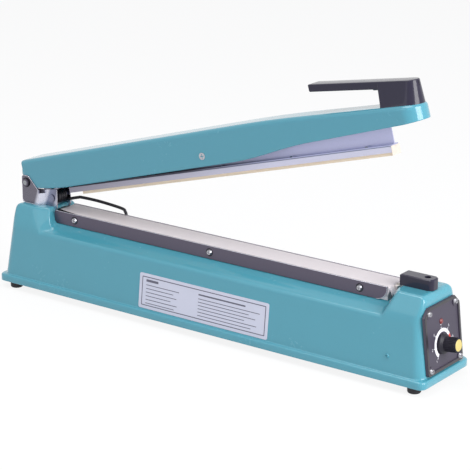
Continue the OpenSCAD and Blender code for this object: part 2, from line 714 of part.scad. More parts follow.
// outline of the panel seen along X: width along Y, height along Z, smaller by t
module panel_outline(t) polygon([
    [-panel_w / 2 + t + 2, panel_z0 + t], [panel_w / 2 - t - 2, panel_z0 + t], [panel_w / 2 - t, panel_z0 + t + 2],
    [panel_w / 2 - t, panel_z0 + panel_h - panel_chamfer], [panel_w / 2 - panel_chamfer, panel_z0 + panel_h - t],
    [-panel_w / 2 + panel_chamfer, panel_z0 + panel_h - t], [-panel_w / 2 + t, panel_z0 + panel_h - panel_chamfer],
    [-panel_w / 2 + t, panel_z0 + t + 2]]);

module end_panel() color("#2f2f36") on_end() difference() {
    rotate([90, 0, 90]) linear_extrude(panel_t) panel_outline(0);
    difference() {
        translate([panel_t - panel_recess, 0, 0]) rotate([90, 0, 90]) linear_extrude(panel_t)
            panel_outline(panel_rim);
        at_panel_screws() rotate([0, 90, 0]) cylinder(d = 9, h = 20, center = true);
    }
    translate([-1, dial_y, dial_up]) rotate([0, 90, 0]) cylinder(d = 7.4, h = 10);
    translate([-1, dial_y, lamp_up]) rotate([0, 90, 0]) cylinder(d = lamp_d + 0.2, h = 10);
    at_panel_screws() translate([-1, 0, 0]) rotate([0, 90, 0]) cylinder(d = panel_screw_d + 0.6, h = 10);
}

module panel_screws() color("gainsboro") on_end() at_panel_screws() translate([panel_t, 0, 0]) rotate([0, 90, 0])
    pan_screw(panel_screw_d - 2 * run, panel_t + 5);

module timer_knob() color("#2c2c32") on_end() translate([knob_base, dial_y, dial_up]) rotate([0, 90, 0])
    difference() {
        union() {
            cylinder(d = skirt_d, h = skirt_h * 0.4);
            translate([0, 0, skirt_h * 0.4]) cylinder(d1 = skirt_d, d2 = knob_d + 1.5, h = skirt_h * 0.6);
            cylinder(d1 = knob_d + 0.8, d2 = knob_d - 0.6, h = knob_l);
            for (i = [0:23]) rotate([0, 0, 15 * i]) translate([knob_d / 2, 0, skirt_h - 0.5])
                cylinder(d = 0.9, h = knob_l - skirt_h - 0.7, $fn = 6);
        }
        translate([0, 0, -1]) cylinder(d = shaft_d + 2 * run, h = 11);
        translate([0, 0, knob_l - 1.2]) cylinder(d = cap_d, h = 3);
    }

module knob_cap() color("#e9d23c") on_end() translate([knob_base + knob_l - 1.2, dial_y, dial_up])
    rotate([0, 90, 0]) {
        cylinder(d = cap_d - 2 * run, h = 1.2);
        translate([0, 0, 1.2]) cylinder(d1 = cap_d - 2 * run, d2 = cap_d - 1.5, h = 0.5);
    }

module side_screws() color("gainsboro") in_base() for (s = [0, 180]) translate([side_screw_x, 0, side_screw_z])
    rotate([0, 0, s]) translate([0, -(base_w / 2 - lip_step - lean * (side_screw_z - lip_h)), 0])
    rotate([90 - draft, 0, 0]) pan_screw(2.2, 6);

module at_gland() translate([gland_x, base_w / 2 - lip_step - lean * (gland_z - lip_h), gland_z])
    rotate([draft - 90, 0, 0]) children();

module cord_gland() color("#26262a") in_base() at_gland() difference() {
    union() {
        translate([0, 0, gap]) cylinder(d = gland_d + 4, h = 2.7);
        translate([0, 0, 3]) cylinder(d1 = gland_d + 2, d2 = gland_d, h = gland_out - 3);
        translate([0, 0, -6]) cylinder(d = gland_d - 2 * run, h = 7);
    }
    translate([0, 0, -7]) cylinder(d = 7, h = 20);
}

// Arm, handle and pressure bar

// cross-section of the arm, smaller by t: roof at Z = 0, round folds, sides running down
module arm_section(t) {
    w = arm_w / 2 - t;
    r = max(arm_r - t, 1);
    polygon(concat([[-w, -60]], arc(r - w, -t - r, r, 180, 90, 6), arc(w - r, -t - r, r, 90, 0, 6), [[w, -60]]));
}

// a straight stretch of the arm from x0 to x1 with its roof's fold line through (x0, z0), falling by a
module arm_run(x0, x1, z0, a, t) translate([x0, 0, z0]) rotate([0, a, 0]) translate([-0.5, 0, 0]) rotate([90, 0, 90])
    linear_extrude((x1 - x0) / cos(a) + 0.55) arm_section(t);

// side view of the arm: end wall, lug round the pin, straight lower edge, and the sweep up to the nose
module arm_side_shape() polygon(concat(
    [[-1, 60], [-1, 16], [-4, 6]],
    arc(0, 0, 6.2, 165, 255, 6),
    [[16.8, -arm_drop + 3.3], [34, -arm_drop + 1.2], [56, -arm_drop]],
    [for (i = [0:10]) [sweep_x + sweep_l * i / 10, -arm_drop + sweep_up * (1 - cos(18 * i)) / 2]],
    [[nose_x, -0.9], [arm_l, 0], [arm_l + 5, 60]]));

// the hollow of the arm in side view: closed by the end wall above the pin, open below
module arm_hollow_shape() polygon([
    [arm_t - 1, 60], [arm_t - 1, 16], [arm_t - 2.6, 9], [-12, 9], [-12, -40], [arm_l, -40], [arm_l, 60]]);

module arm_form(t) intersection() {
    union() {
        arm_run(-10, arm_bend - bend_l / 2, arm_top, 0, t);
        arm_run(arm_bend - bend_l / 2, arm_bend + bend_l / 2, arm_top, arm_fall / 2, t);
        arm_run(arm_bend + bend_l / 2, nose_x, roof(arm_bend + bend_l / 2), arm_fall, t);
        translate([nose_x, 0, roof(nose_x)]) rotate([0, arm_fall, 0]) rotate([0, 0, -90])
            rotate_extrude(angle = 180) intersection() {
                arm_section(t);
                translate([0, -60]) square([arm_w, 70]);
            }
    }
    translate([0, arm_w, 0]) rotate([90, 0, 0]) linear_extrude(2 * arm_w) children();
}

module arm_channel() color("#5a97ae") on_arm() difference() {
    arm_form(0) arm_side_shape();
    arm_form(arm_t) arm_hollow_shape();
    y_bar(pivot_d + 2 * run, 2 * arm_w);
    translate([guide_in, 0, guide_z]) y_bar(bar_pin_d + 2 * run, 2 * arm_w);
    for (x = handle_screw_x) translate([x, 0, 0]) cylinder(d = 3.6, h = 40);
    translate([striker_x, 0, 0]) cylinder(d = striker_d, h = 40);
}

// plan of the handle at one level: square towards the hinge, round at the nose
module handle_plan(x0, w, t) {
    translate([x0 + t, -w / 2 + t]) square([arm_l - w / 2 - x0 - t, w - 2 * t]);
    translate([arm_l - w / 2, 0]) circle(w / 2 - t, $fn = 32);
}

// a slice of the handle, leaning by a, whose top passes through height z at the nose
module handle_slice(x0, w, z, a, t = 0) translate([arm_l, 0, z]) rotate([0, a, 0]) translate([-arm_l, 0, -eps])
    linear_extrude(eps) handle_plan(x0, w, t);

module handle() color("#34343c") on_arm() {
    foot_z = roof(arm_l) + gap / 3;
    top_z = foot_z + grip_h;
    difference() {
        union() {
            hull() {
                handle_slice(riser_x, riser_w, foot_z, arm_fall);
                handle_slice(riser_x, riser_w, foot_z + 1.5, arm_fall);
                handle_slice(riser_x - 1, grip_w, top_z - 2, grip_lean);
            }
            hull() {
                handle_slice(grip_x, grip_w, top_z - grip_t, grip_lean, 1);
                handle_slice(grip_x, grip_w, top_z - grip_t + 1, grip_lean);
                handle_slice(grip_x, grip_w, top_z - 1, grip_lean);
                handle_slice(grip_x, grip_w, top_z, grip_lean, 1);
            }
            hull() {
                handle_slice(riser_x - 8, grip_w, top_z - grip_t, grip_lean, 2);
                handle_slice(riser_x - 8, grip_w, top_z - grip_t - 1, grip_lean, 2.5);
            }
        }
        for (x = handle_screw_x) translate([x, 0, 0]) cylinder(d = 3, h = roof(arm_l) + 14);
        translate([striker_x, 0, 0]) cylinder(d = 8, h = roof(arm_l) + 4);
    }
}

module handle_screws() color("silver") on_arm() for (x = handle_screw_x)
    translate([x, 0, roof(x) - arm_t - gap]) mirror([0, 0, 1]) pan_screw(3 - 2 * run, 12);

module striker() color("silver") on_arm() translate([striker_x, 0, 0]) {
    top = roof(striker_x) + 1.4;
    translate([0, 0, striker_tip + 1]) cylinder(d = striker_d - 2 * run, h = top - striker_tip - 1);
    translate([0, 0, striker_tip]) cylinder(d1 = striker_d - 1.4, d2 = striker_d - 2 * run, h = 1);
    translate([0, 0, roof(striker_x) - arm_t - 3.4]) cylinder(d = 7, h = 3.1, $fn = 6);
}

module bar_hanger() color("#a9abb2") on_arm() difference() {
    union() {
        translate([bar_in - 8, -hanger_y, arm_top - arm_t - 1.6]) cube([16, 2 * hanger_y, 1.5]);
        for (s = [-1, 1]) translate([bar_in, s * (hanger_y - 0.75), 0]) {
            translate([-4.5, -0.75, -bar_down]) cube([9, 1.5, arm_top - arm_t - 1.5 + bar_down]);
            translate([0, 0, -bar_down]) y_bar(9, 1.5);
        }
    }
    translate([bar_in, 0, -bar_down]) y_bar(bar_pin_d + 2 * run, 20);
}

module bar_pin() color("gainsboro") on_arm() translate([bar_in, 0, -bar_down]) {
    y_bar(bar_pin_d, 2 * (hanger_y + gap));
    for (s = [-1, 1]) translate([0, s * (hanger_y + gap + 0.6), 0]) y_bar(bar_pin_d + 2, 1.2);
}

module guide_screw() color("gainsboro") on_arm() translate([guide_in, 0, guide_z]) {
    y_bar(bar_pin_d, arm_w + 0.4);
    for (s = [-1, 1]) translate([0, s * (arm_w / 2 + 1), 0]) difference() {
        y_bar(bar_pin_d + 3.4, 1.8);
        translate([0, s * 0.8, 0]) cube([4.6, 1.2, 0.9], center = true);
        translate([0, s * 0.8, 0]) cube([0.9, 1.2, 4.6], center = true);
    }
}

// the web in side view, with its hinge eye, the slot for the guide screw and the seat of the press spring
module bar_web() color("#b3b5bd") on_bar() {
    slot_r = bar_pin_d / 2 + gap;
    difference() {
        translate([0, web_t / 2, 0]) rotate([90, 0, 0]) linear_extrude(web_t) difference() {
            union() {
                translate([rail_x + 4, rail_top]) square([rail_l - 4, web_h]);
                translate([guide_x - 9, rail_top]) square([18, slot_hi + slot_r + 2.5 - rail_top]);
            }
            translate([press_spring_x - 7, seat_z]) square([14, 40]);
            translate([guide_x - slot_r, slot_lo]) square([2 * slot_r, slot_hi - slot_lo]);
        }
        y_bar(bar_pin_d + 2 * run, 20);
        for (z = [slot_lo, slot_hi]) translate([guide_x, 0, z]) y_bar(2 * slot_r, 20);
    }
    translate([press_spring_x - 6.5, -6, seat_z - 1.5]) cube([13, 12, 1.5]);
    translate([rail_x + 4, -rail_w / 2 + 1, rail_top]) cube([rail_l - 4, rail_w - 2, 1]);
}

module press_spring() color("silver") on_arm() {
    low = seat_z - bar_down - (press_spring_x) * sin(bar_sag) + press_wire / 2 + 0.3;
    high = arm_top - arm_t - press_wire / 2 - gap;
    turns = 7;
    r = (press_spring_d - press_wire) / 2;
    translate([bar_in + press_spring_x, 0, 0]) wire([for (i = [0:12 * turns]) let (a = 30 * i)
        [r * cos(a), r * sin(a), low + (high - low) * i / (12 * turns)]], press_wire, [0, 0, 1], 6);
}

module bar_rail() color("#c3c5cd") on_bar() translate([rail_x, 0, 0]) rotate([90, 0, 90])
    linear_extrude(rail_l) polygon([
        [-rail_w / 2, rail_z], [-rail_w / 2, rail_top - 0.6], [-rail_w / 2 + 0.6, rail_top],
        [rail_w / 2 - 0.6, rail_top], [rail_w / 2, rail_top - 0.6], [rail_w / 2, rail_z],
        [groove_w / 2, rail_z], [groove_w / 2, rail_z + groove_h],
        [-groove_w / 2, rail_z + groove_h], [-groove_w / 2, rail_z]]);

module bar_rivets() color("gainsboro") on_bar() for (i = [0:4], s = [-1, 1])
    translate([rail_x + 30 + i * (rail_l - 60) / 4, s * 4, rail_top + 1]) intersection() {
        translate([0, 0, -0.6]) sphere(d = 3.6, $fn = 24);
        cylinder(d = 4, h = 2);
    }

module silicone_strip() color("#e9bf9c") on_bar() translate([rail_x + 18, -groove_w / 2, pad_z])
    cube([rail_l - 18, groove_w, pad_t + groove_h]);

module rail_end_cap() color("#ecd0bd") on_bar()
    translate([rail_x + rail_l, -rail_w / 2, pad_z]) cube([cap_t, rail_w, rail_top - pad_z]);

base_housing();
bottom_plate();
rubber_feet();
foot_screws();
hinge_bracket();
bracket_screws();
hinge_pin();
spring_shaft();
lift_spring();
jaw_bar();
jaw_screws();
insulating_strip();
heating_band();
slip_cloth();
front_clamp_plate();
rear_clamp_plate();
clamp_screws();
left_terminal();
right_terminal();
switch_block();
microswitch();
transformer_core();
transformer_coil();
transformer_screws();
timer_board();
board_parts();
board_posts();
timer_pot();
pilot_lamp();
end_panel();
panel_screws();
side_screws();
cord_gland();
arm_channel();
handle();
handle_screws();
striker();
bar_hanger();
bar_pin();
guide_screw();
press_spring();
bar_web();
bar_rail();
bar_rivets();
silicone_strip();
rail_end_cap();
timer_knob();
knob_cap();
switch_plunger();
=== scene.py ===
"""A hand impulse sealer: looks, fine surfaces and trim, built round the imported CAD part.

Lengths in the shape functions are millimetres. They are measured from the left end of the base and
from the underside of its lip, as a maker would measure them, and are turned into metres at the end.
"""
import math

import bmesh
import bpy
import numpy as np
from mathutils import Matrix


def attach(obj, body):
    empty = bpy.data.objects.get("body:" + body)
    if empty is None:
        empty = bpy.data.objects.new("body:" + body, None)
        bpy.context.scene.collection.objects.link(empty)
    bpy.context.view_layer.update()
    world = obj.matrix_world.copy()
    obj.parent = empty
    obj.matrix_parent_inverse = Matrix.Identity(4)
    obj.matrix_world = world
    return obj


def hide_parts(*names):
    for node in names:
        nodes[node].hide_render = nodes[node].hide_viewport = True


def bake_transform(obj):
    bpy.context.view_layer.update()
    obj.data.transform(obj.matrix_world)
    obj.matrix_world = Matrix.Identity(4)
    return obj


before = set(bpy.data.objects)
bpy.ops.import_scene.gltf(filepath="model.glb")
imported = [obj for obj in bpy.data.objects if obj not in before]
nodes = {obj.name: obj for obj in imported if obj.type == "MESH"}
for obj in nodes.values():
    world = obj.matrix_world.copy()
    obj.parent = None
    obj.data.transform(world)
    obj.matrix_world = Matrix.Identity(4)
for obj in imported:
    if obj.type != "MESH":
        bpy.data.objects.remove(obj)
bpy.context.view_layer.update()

# Sizes shared by the pieces

BASE_L, BASE_W, LIP_H, LIP_STEP = 550.0, 89.0, 8.0, 3.6
MID_X = 282.1460  # halfway between the left end of the base and the tip of the knob
FOOT_H = 8.0
LEAN_DEG = 6.3
LEAN = math.tan(math.radians(LEAN_DEG))
HUMP_H, RIDGE_H, CREASE_H, HUMP_L = 87.0, 71.0, 62.3, 45.0
RIDGE_HALF, WALL_R = 14.5, 10.0
RAMP_X, RAMP_L, RAMP_FALL, RAMP_HALF = 42.0, 16.4, 4.0, 17.0  # from the hinge's hump down to the jaw
JAW_X, JAW_L, CLOTH_TOP, CLAMP_Y = 64.8, 425.0, 85.0, 14.75
PIVOT = (22.0, 110.4)
ARM_OPEN, BAR_SAG = 16.15, 0.85
ARM_L, ARM_BEND, ARM_TOP, ARM_FALL = 517.0, 345.0, 22.9, 2.8
ARM_HALF, ARM_FOLD, ARM_FEED = 16.0, 3.0, 80.0


# Frames of reference

def in_base(p):
    """Places points measured from the left end of the base and the lip's underside, in metres."""
    p = np.asarray(p, float)
    return (p + np.array([-MID_X, 0, FOOT_H])) * 0.001


def turned(p, degrees):
    """Turns points about Y by the right-hand rule."""
    a = math.radians(degrees)
    p = np.asarray(p, float)
    x = p[..., 0] * math.cos(a) + p[..., 2] * math.sin(a)
    z = -p[..., 0] * math.sin(a) + p[..., 2] * math.cos(a)
    return np.stack([x, p[..., 1], z], -1)


def on_arm(p):
    """Places points measured from the hinge pin along the open arm."""
    return in_base(turned(p, -ARM_OPEN) + np.array([PIVOT[0], 0, PIVOT[1]]))


def on_end(p):
    """Places points measured from the foot of the leaning end wall, X straight out of it."""
    return in_base(turned(p, -LEAN_DEG) + np.array([BASE_L - LIP_STEP, 0, LIP_H]))


# Mesh making

WELD = 0.0000001  # metres; joins only points that lie on each other


def grid_faces(rows, cols, close_cols=False):
    """Four-sided faces of a grid of points, row by row; the columns may close into a ring."""
    r = np.arange(rows - 1)[:, None]
    c = np.arange(cols if close_cols else cols - 1)[None, :]
    d = (c + 1) % cols
    a = r * cols + c
    b = r * cols + d
    return np.stack([a, b, b + cols, a + cols], -1).reshape(-1, 4)


def make_piece(name, points, faces, material, body, smooth=True, merge=0.0, flip=False, sharp_deg=None):
    """Puts points (metres) and faces into a mesh object that rides on a body, or on none if it is to blend."""
    mesh = bpy.data.meshes.new(name)
    mesh.from_pydata(np.asarray(points, float).reshape(-1, 3).tolist(), [], [list(map(int, f)) for f in faces])
    bm = bmesh.new()
    bm.from_mesh(mesh)
    if merge:
        bmesh.ops.remove_doubles(bm, verts=bm.verts, dist=merge)
        bmesh.ops.dissolve_degenerate(bm, edges=bm.edges, dist=merge / 4)
    if flip:
        bmesh.ops.reverse_faces(bm, faces=bm.faces)
    bm.to_mesh(mesh)
    bm.free()
    mesh.polygons.foreach_set("use_smooth", np.full(len(mesh.polygons), smooth))
    if smooth and sharp_deg:
        mesh.set_sharp_from_angle(angle=math.radians(sharp_deg))
    mesh.materials.append(material)
    obj = bpy.data.objects.new(name, mesh)
    bpy.context.scene.collection.objects.link(obj)
    if body:
        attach(obj, body)
    return obj


def thicken(obj, metres):
    """Gives a skin the thickness of its sheet, inwards from the drawn face."""
    sheet = obj.modifiers.new("thickness", "SOLIDIFY")
    sheet.thickness = metres
    sheet.offset = -1


def join_grids(grids, close_cols=False):
    """The points and faces of several grids in one mesh; a grid paired with True has its faces turned round."""
    points, faces, offset = [], [], 0
    for grid, turned_round in grids:
        f = grid_faces(*grid.shape[:2], close_cols) + offset
        faces.append(f[:, ::-1] if turned_round else f)
        points.append(grid.reshape(-1, 3))
        offset += grid.shape[0] * grid.shape[1]
    return np.vstack(points), np.vstack(faces)


def tube_points(path, radius, sides=16):
    """Rings of a round tube along a path, each ring square to the path; frames carried by parallel transport."""
    path = np.asarray(path, float)
    tangent = np.gradient(path, axis=0)
    tangent /= np.linalg.norm(tangent, axis=1, keepdims=True)
    side = np.cross(tangent[0], [0.3, 0.5, 0.8])
    side /= np.linalg.norm(side)
    frames = []
    for t in tangent:
        side = side - np.dot(side, t) * t
        side /= np.linalg.norm(side)
        frames.append(side)
    u = np.array(frames)
    v = np.cross(tangent, u)
    a = np.linspace(0, 2 * np.pi, sides, endpoint=False)
    ring = np.cos(a)[None, :, None] * u[:, None] + np.sin(a)[None, :, None] * v[:, None]
    return path[:, None] + radius * ring


def tube_piece(name, path, radius, material, body, place, sides=16):
    """A round wire with flat ends along a path of millimetre points."""
    rings = tube_points(path, radius, sides)
    n = len(rings)
    points = np.concatenate([rings.reshape(-1, 3), rings[0].mean(0, keepdims=True), rings[-1].mean(0, keepdims=True)])
    faces = [list(f) for f in grid_faces(n, sides, True)]
    faces += [[n * sides, (k + 1) % sides, k] for k in range(sides)]
    faces += [[n * sides + 1, (n - 1) * sides + k, (n - 1) * sides + (k + 1) % sides] for k in range(sides)]
    return make_piece(name, place(points), faces, material, body, sharp_deg=50)


def arc(cx, cy, radius, a0, a1, n):
    """Points of a round arc in a plane, its angles in degrees."""
    a = np.radians(np.linspace(a0, a1, n))
    return np.stack([cx + radius * np.cos(a), cy + radius * np.sin(a)], -1)


def upright(points, y):
    """Sets (along, up) points upright in the plane at y."""
    return np.column_stack([points[:, 0], np.full(len(points), y), points[:, 1]])


def smooth_path(points, per_span):
    """A Catmull-Rom curve through the points."""
    p = np.asarray(points, float)
    p = np.vstack([2 * p[0] - p[1], p, 2 * p[-1] - p[-2]])
    t = np.linspace(0, 1, per_span, endpoint=False)[:, None]
    out = []
    for i in range(1, len(p) - 2):
        a, b, c, d = p[i - 1:i + 3]
        curve = 2 * b + (c - a) * t + (2 * a - 5 * b + 4 * c - d) * t ** 2 + (3 * b - a - 3 * c + d) * t ** 3
        out.append(0.5 * curve)
    out.append(p[-2:-1])
    return np.vstack(out)


def smooth_max(a, b, k):
    """The larger of two values, blended over a band k wide."""
    h = np.maximum(k - np.abs(a - b), 0) / k
    return np.maximum(a, b) + h * h * k / 4


def smooth_min(a, b, k):
    """The smaller of two values, blended in the same way."""
    return -smooth_max(-a, -b, k)


def smooth_step(x, lo, hi):
    """0 below lo and 1 above hi, with level ends between."""
    t = np.clip((x - lo) / (hi - lo), 0, 1)
    return t * t * (3 - 2 * t)


# Materials

def set_inputs(node, **values):
    """Sets a node's inputs by name; an underscore stands for a space."""
    for key, value in values.items():
        node.inputs[key.replace("_", " ")].default_value = value


def shader(name, color, roughness=0.5, metallic=0.0, **sockets):
    """A Principled material whose constants are set on its own sockets."""
    mat = bpy.data.materials.new(name)
    mat.use_nodes = True
    mat.diffuse_color = (*color, 1)
    set_inputs(mat.node_tree.nodes["Principled BSDF"], Base_Color=(*color, 1), Roughness=roughness,
               Metallic=metallic, **sockets)
    return mat


def rgb(r, g, b):
    """A colour given as 0 to 255 on screen, as the linear values that a shader takes."""
    c = np.array([r, g, b]) / 255.0
    return tuple(float(v) for v in np.where(c <= 0.04045, c / 12.92, ((c + 0.055) / 1.055) ** 2.4))


def add_node(tree, kind, operation, *values):
    """A node of one operation, each input given as a number or as the socket to link to it; returns the node."""
    node = tree.nodes.new(kind)
    node.operation = operation
    for socket, value in zip(node.inputs, values):
        if isinstance(value, bpy.types.NodeSocket):
            tree.links.new(value, socket)
        else:
            socket.default_value = value
    return node


def math_out(tree, operation, *values):
    return add_node(tree, "ShaderNodeMath", operation, *values).outputs[0]


def new_group(name, inputs, outputs):
    """An empty shader node group with named inputs (name, kind, default) and outputs (name, kind)."""
    group = bpy.data.node_groups.new(name, "ShaderNodeTree")
    for label, kind, default in inputs:
        s = group.interface.new_socket(label, in_out="INPUT", socket_type=kind)
        s.default_value = default
    for label, kind in outputs:
        group.interface.new_socket(label, in_out="OUTPUT", socket_type=kind)
    start = group.nodes.new("NodeGroupInput")
    end = group.nodes.new("NodeGroupOutput")
    return group, start, end


def make_mottle_group():
    """Slow blotches and fine speckle in one: a colour varied in brightness, and a roughness varied with it."""
    g, start, end = new_group("mottle", [
        ("Color", "NodeSocketColor", (0.5, 0.5, 0.5, 1)), ("Scale", "NodeSocketFloat", 60.0),
        ("Amount", "NodeSocketFloat", 0.06), ("Roughness", "NodeSocketFloat", 0.5),
        ("Spread", "NodeSocketFloat", 0.08)], [("Color", "NodeSocketColor"), ("Roughness", "NodeSocketFloat")])
    n, link = g.nodes, g.links.new
    coord = n.new("ShaderNodeTexCoord")
    slow = n.new("ShaderNodeTexNoise")
    set_inputs(slow, Detail=4)
    link(coord.outputs["Object"], slow.inputs["Vector"])
    link(start.outputs["Scale"], slow.inputs["Scale"])
    fine = n.new("ShaderNodeTexNoise")
    set_inputs(fine, Detail=3)
    link(coord.outputs["Object"], fine.inputs["Vector"])
    link(math_out(g, "MULTIPLY", start.outputs["Scale"], 14), fine.inputs["Scale"])
    both = math_out(g, "ADD", slow.outputs["Fac"], fine.outputs["Fac"])
    centred = math_out(g, "SUBTRACT", both, 1.0)
    gain = math_out(g, "MULTIPLY_ADD", centred, start.outputs["Amount"], 1.0)
    scale = n.new("ShaderNodeVectorMath")
    scale.operation = "SCALE"
    link(start.outputs["Color"], scale.inputs[0])
    link(gain, scale.inputs["Scale"])
    link(scale.outputs[0], end.inputs["Color"])
    rough = math_out(g, "MULTIPLY_ADD", centred, start.outputs["Spread"], start.outputs["Roughness"])
    link(rough, end.inputs["Roughness"])
    return g


def make_grain_group():
    """Height of a stretched or even grain: noise on Object coordinates scaled differently along each axis."""
    g, start, end = new_group("grain", [
        ("Stretch", "NodeSocketVector", (1, 1, 1)), ("Scale", "NodeSocketFloat", 900.0),
        ("Detail", "NodeSocketFloat", 3.0)], [("Height", "NodeSocketFloat")])
    n, link = g.nodes, g.links.new
    coord = n.new("ShaderNodeTexCoord")
    stretched = add_node(g, "ShaderNodeVectorMath", "MULTIPLY", coord.outputs["Object"], start.outputs["Stretch"])
    noise = n.new("ShaderNodeTexNoise")
    link(stretched.outputs[0], noise.inputs["Vector"])
    link(start.outputs["Scale"], noise.inputs["Scale"])
    link(start.outputs["Detail"], noise.inputs["Detail"])
    link(noise.outputs["Fac"], end.inputs["Height"])
    return g


def make_weave_group():
    """Height of a plain weave: two crossed sine waves along X and Y, each lifted where the other dips."""
    g, start, end = new_group("weave", [("Pitch", "NodeSocketFloat", 1800.0)], [("Height", "NodeSocketFloat")])
    n, link = g.nodes, g.links.new
    coord = n.new("ShaderNodeTexCoord")
    split = n.new("ShaderNodeSeparateXYZ")
    link(coord.outputs["Object"], split.inputs[0])
    waves = [math_out(g, "SINE", math_out(g, "MULTIPLY", split.outputs[axis], start.outputs["Pitch"]))
             for axis in ("X", "Y")]
    link(math_out(g, "MULTIPLY", *waves), end.inputs["Height"])
    return g


MOTTLE, GRAIN, WEAVE = make_mottle_group(), make_grain_group(), make_weave_group()


def finish_surface(mat, color, roughness, mottle_scale=60.0, amount=0.06, spread=0.08,
                   grain_scale=900.0, stretch=(1, 1, 1), bump=0.1, depth=0.0001, weave=None):
    """Adds the shared mottle and grain to a material: colour and roughness vary, and a bump gives the grain."""
    tree = mat.node_tree
    n, link = tree.nodes, tree.links.new
    bsdf = n["Principled BSDF"]
    m = n.new("ShaderNodeGroup")
    m.node_tree = MOTTLE
    set_inputs(m, Color=(*color, 1), Scale=mottle_scale, Amount=amount, Roughness=roughness, Spread=spread)
    link(m.outputs["Color"], bsdf.inputs["Base Color"])
    link(m.outputs["Roughness"], bsdf.inputs["Roughness"])
    g = n.new("ShaderNodeGroup")
    if weave:
        g.node_tree = WEAVE
        set_inputs(g, Pitch=weave)
    else:
        g.node_tree = GRAIN
        set_inputs(g, Scale=grain_scale, Stretch=stretch)
    b = n.new("ShaderNodeBump")
    set_inputs(b, Strength=bump, Distance=depth)
    link(g.outputs["Height"], b.inputs["Height"])
    link(b.outputs["Normal"], bsdf.inputs["Normal"])
    return mat


def surface(name, color, roughness, metallic=0.0, look=None, **sockets):
    """A finished material in one call: the constants and the look."""
    return finish_surface(shader(name, color, roughness, metallic, **sockets), color, roughness, **(look or {}))


BRUSHED_X = dict(stretch=(0.04, 1, 1), grain_scale=2600, bump=0.25, mottle_scale=35, amount=0.08, spread=0.12)
PLATED = dict(grain_scale=1500, bump=0.08, mottle_scale=180, amount=0.10, spread=0.12)
POLISHED = dict(grain_scale=1600, bump=0.05, depth=0.0001, mottle_scale=90, amount=0.06, spread=0.05)
MOULDED = dict(grain_scale=2600, bump=0.35, depth=0.00012, mottle_scale=90, amount=0.08, spread=0.06)
PAINTED = dict(grain_scale=420, bump=0.05, depth=0.00012, mottle_scale=22, amount=0.03, spread=0.05)
PRINTED = dict(mottle_scale=300, amount=0.05, bump=0.05)

paint_base = surface("base paint", rgb(70, 146, 164), 0.26,
                     look=PAINTED, Specular_IOR_Level=0.3, Coat_Weight=0.8, Coat_Roughness=0.04)
paint_arm = surface("arm paint", rgb(70, 144, 163), 0.26,
                    look=PAINTED, Specular_IOR_Level=0.3, Coat_Weight=0.8, Coat_Roughness=0.04)
dark_plastic = surface("dark plastic", rgb(29, 26, 48), 0.3,
                       look=POLISHED, Specular_IOR_Level=0.2, Coat_Weight=0.5, Coat_Roughness=0.04)
panel_plastic = surface("panel plastic", rgb(60, 55, 70), 0.5, look=MOULDED)
rim_plastic = surface("panel rim", rgb(30, 27, 36), 0.3, look=POLISHED, Coat_Weight=0.4, Coat_Roughness=0.08)
knob_plastic = surface("knob plastic", rgb(34, 32, 42), 0.4, look=MOULDED, Specular_IOR_Level=0.3)
inner_plastic = surface("inner plastic", rgb(44, 44, 50), 0.5, look=MOULDED)
rubber = surface("foot rubber", rgb(38, 38, 42), 0.75, look=MOULDED)
screw_steel = surface("screw steel", rgb(188, 188, 194), 0.28, 1.0, look=PLATED)
plated_steel = surface("zinc plate", rgb(160, 163, 168), 0.42, 1.0, look=PLATED)
# Painted highlight: brighter than the plates it edges. It stands in for the light caught on their rounded edges.
edge_highlight_steel = surface("polished edge with painted highlight", rgb(214, 212, 222), 0.18, 1.0, look=PLATED)
# Painted reflection: the stainless steel is given a dark purple-grey, standing in for the dark surround that it
# reflects.
clamp_steel = surface("clamp steel", rgb(98, 92, 106), 0.40, 0.85, look=BRUSHED_X)
jaw_metal = surface("jaw aluminium", rgb(186, 188, 194), 0.40, 1.0, look=BRUSHED_X)
black_steel = surface("blackened steel", rgb(36, 35, 42), 0.36, 0.5, look=PLATED)
brass = surface("terminal brass", rgb(196, 164, 92), 0.35, 1.0, look=PLATED)
band_metal = surface("heating alloy", rgb(150, 146, 140), 0.35, 1.0, look=BRUSHED_X)
cloth_look = dict(weave=6500, bump=0.35, depth=0.00015, mottle_scale=26, amount=0.10, spread=0.08)
slip_cloth_mat = surface("slip cloth", rgb(206, 198, 202), 0.42, look=cloth_look, Sheen_Weight=0.15)
# Painted shade: the insulating strip is made near black so that, where the cloth is drawn in at the hinge end, it
# shows as the shade in the gap between clamp plate and cloth. The gap wedge uses it too.
insulation_and_shade_mat = surface("insulating tape and gap shade", rgb(14, 11, 16), 0.8, look=cloth_look, Specular_IOR_Level=0.1)
silicone_mat = surface("silicone", rgb(226, 208, 184), 0.45, look=MOULDED, Subsurface_Weight=0.1)
set_inputs(silicone_mat.node_tree.nodes["Principled BSDF"], Subsurface_Radius=(0.003, 0.002, 0.0015))
tin_plate = surface("tin plate", rgb(214, 208, 206), 0.34, 1.0, look=PLATED)
cap_silicone = surface("end cap silicone", rgb(244, 234, 222), 0.35, look=MOULDED, Transmission_Weight=0.35)
label_mat = surface("label film", rgb(196, 198, 214), 0.34, look=dict(mottle_scale=20, amount=0.03, bump=0.03))
label_line = surface("label border", rgb(92, 92, 108), 0.4, look=dict(mottle_scale=90, amount=0.05, bump=0.03))
print_white = surface("dial print", rgb(232, 232, 238), 0.5, look=PRINTED)
print_red = surface("dial end mark", rgb(206, 62, 48), 0.5, look=PRINTED)
cap_yellow = surface("cap yellow", rgb(198, 180, 108), 0.34, look=dict(mottle_scale=160, amount=0.05, bump=0.05))
lamp_red = surface("lamp lens", rgb(112, 10, 18), 0.15, look=dict(mottle_scale=400, amount=0.1, bump=0.05),
                   Coat_Weight=0.6)
board_green = surface("board green", rgb(62, 118, 74), 0.4, look=PLATED)
winding = surface("winding tape", rgb(206, 168, 84), 0.5, look=dict(stretch=(1, 1, 8), grain_scale=500, bump=0.4))
core_steel = surface("core steel", rgb(104, 106, 112), 0.5, 0.8,
                     look=dict(stretch=(1, 14, 1), grain_scale=220, bump=0.5))


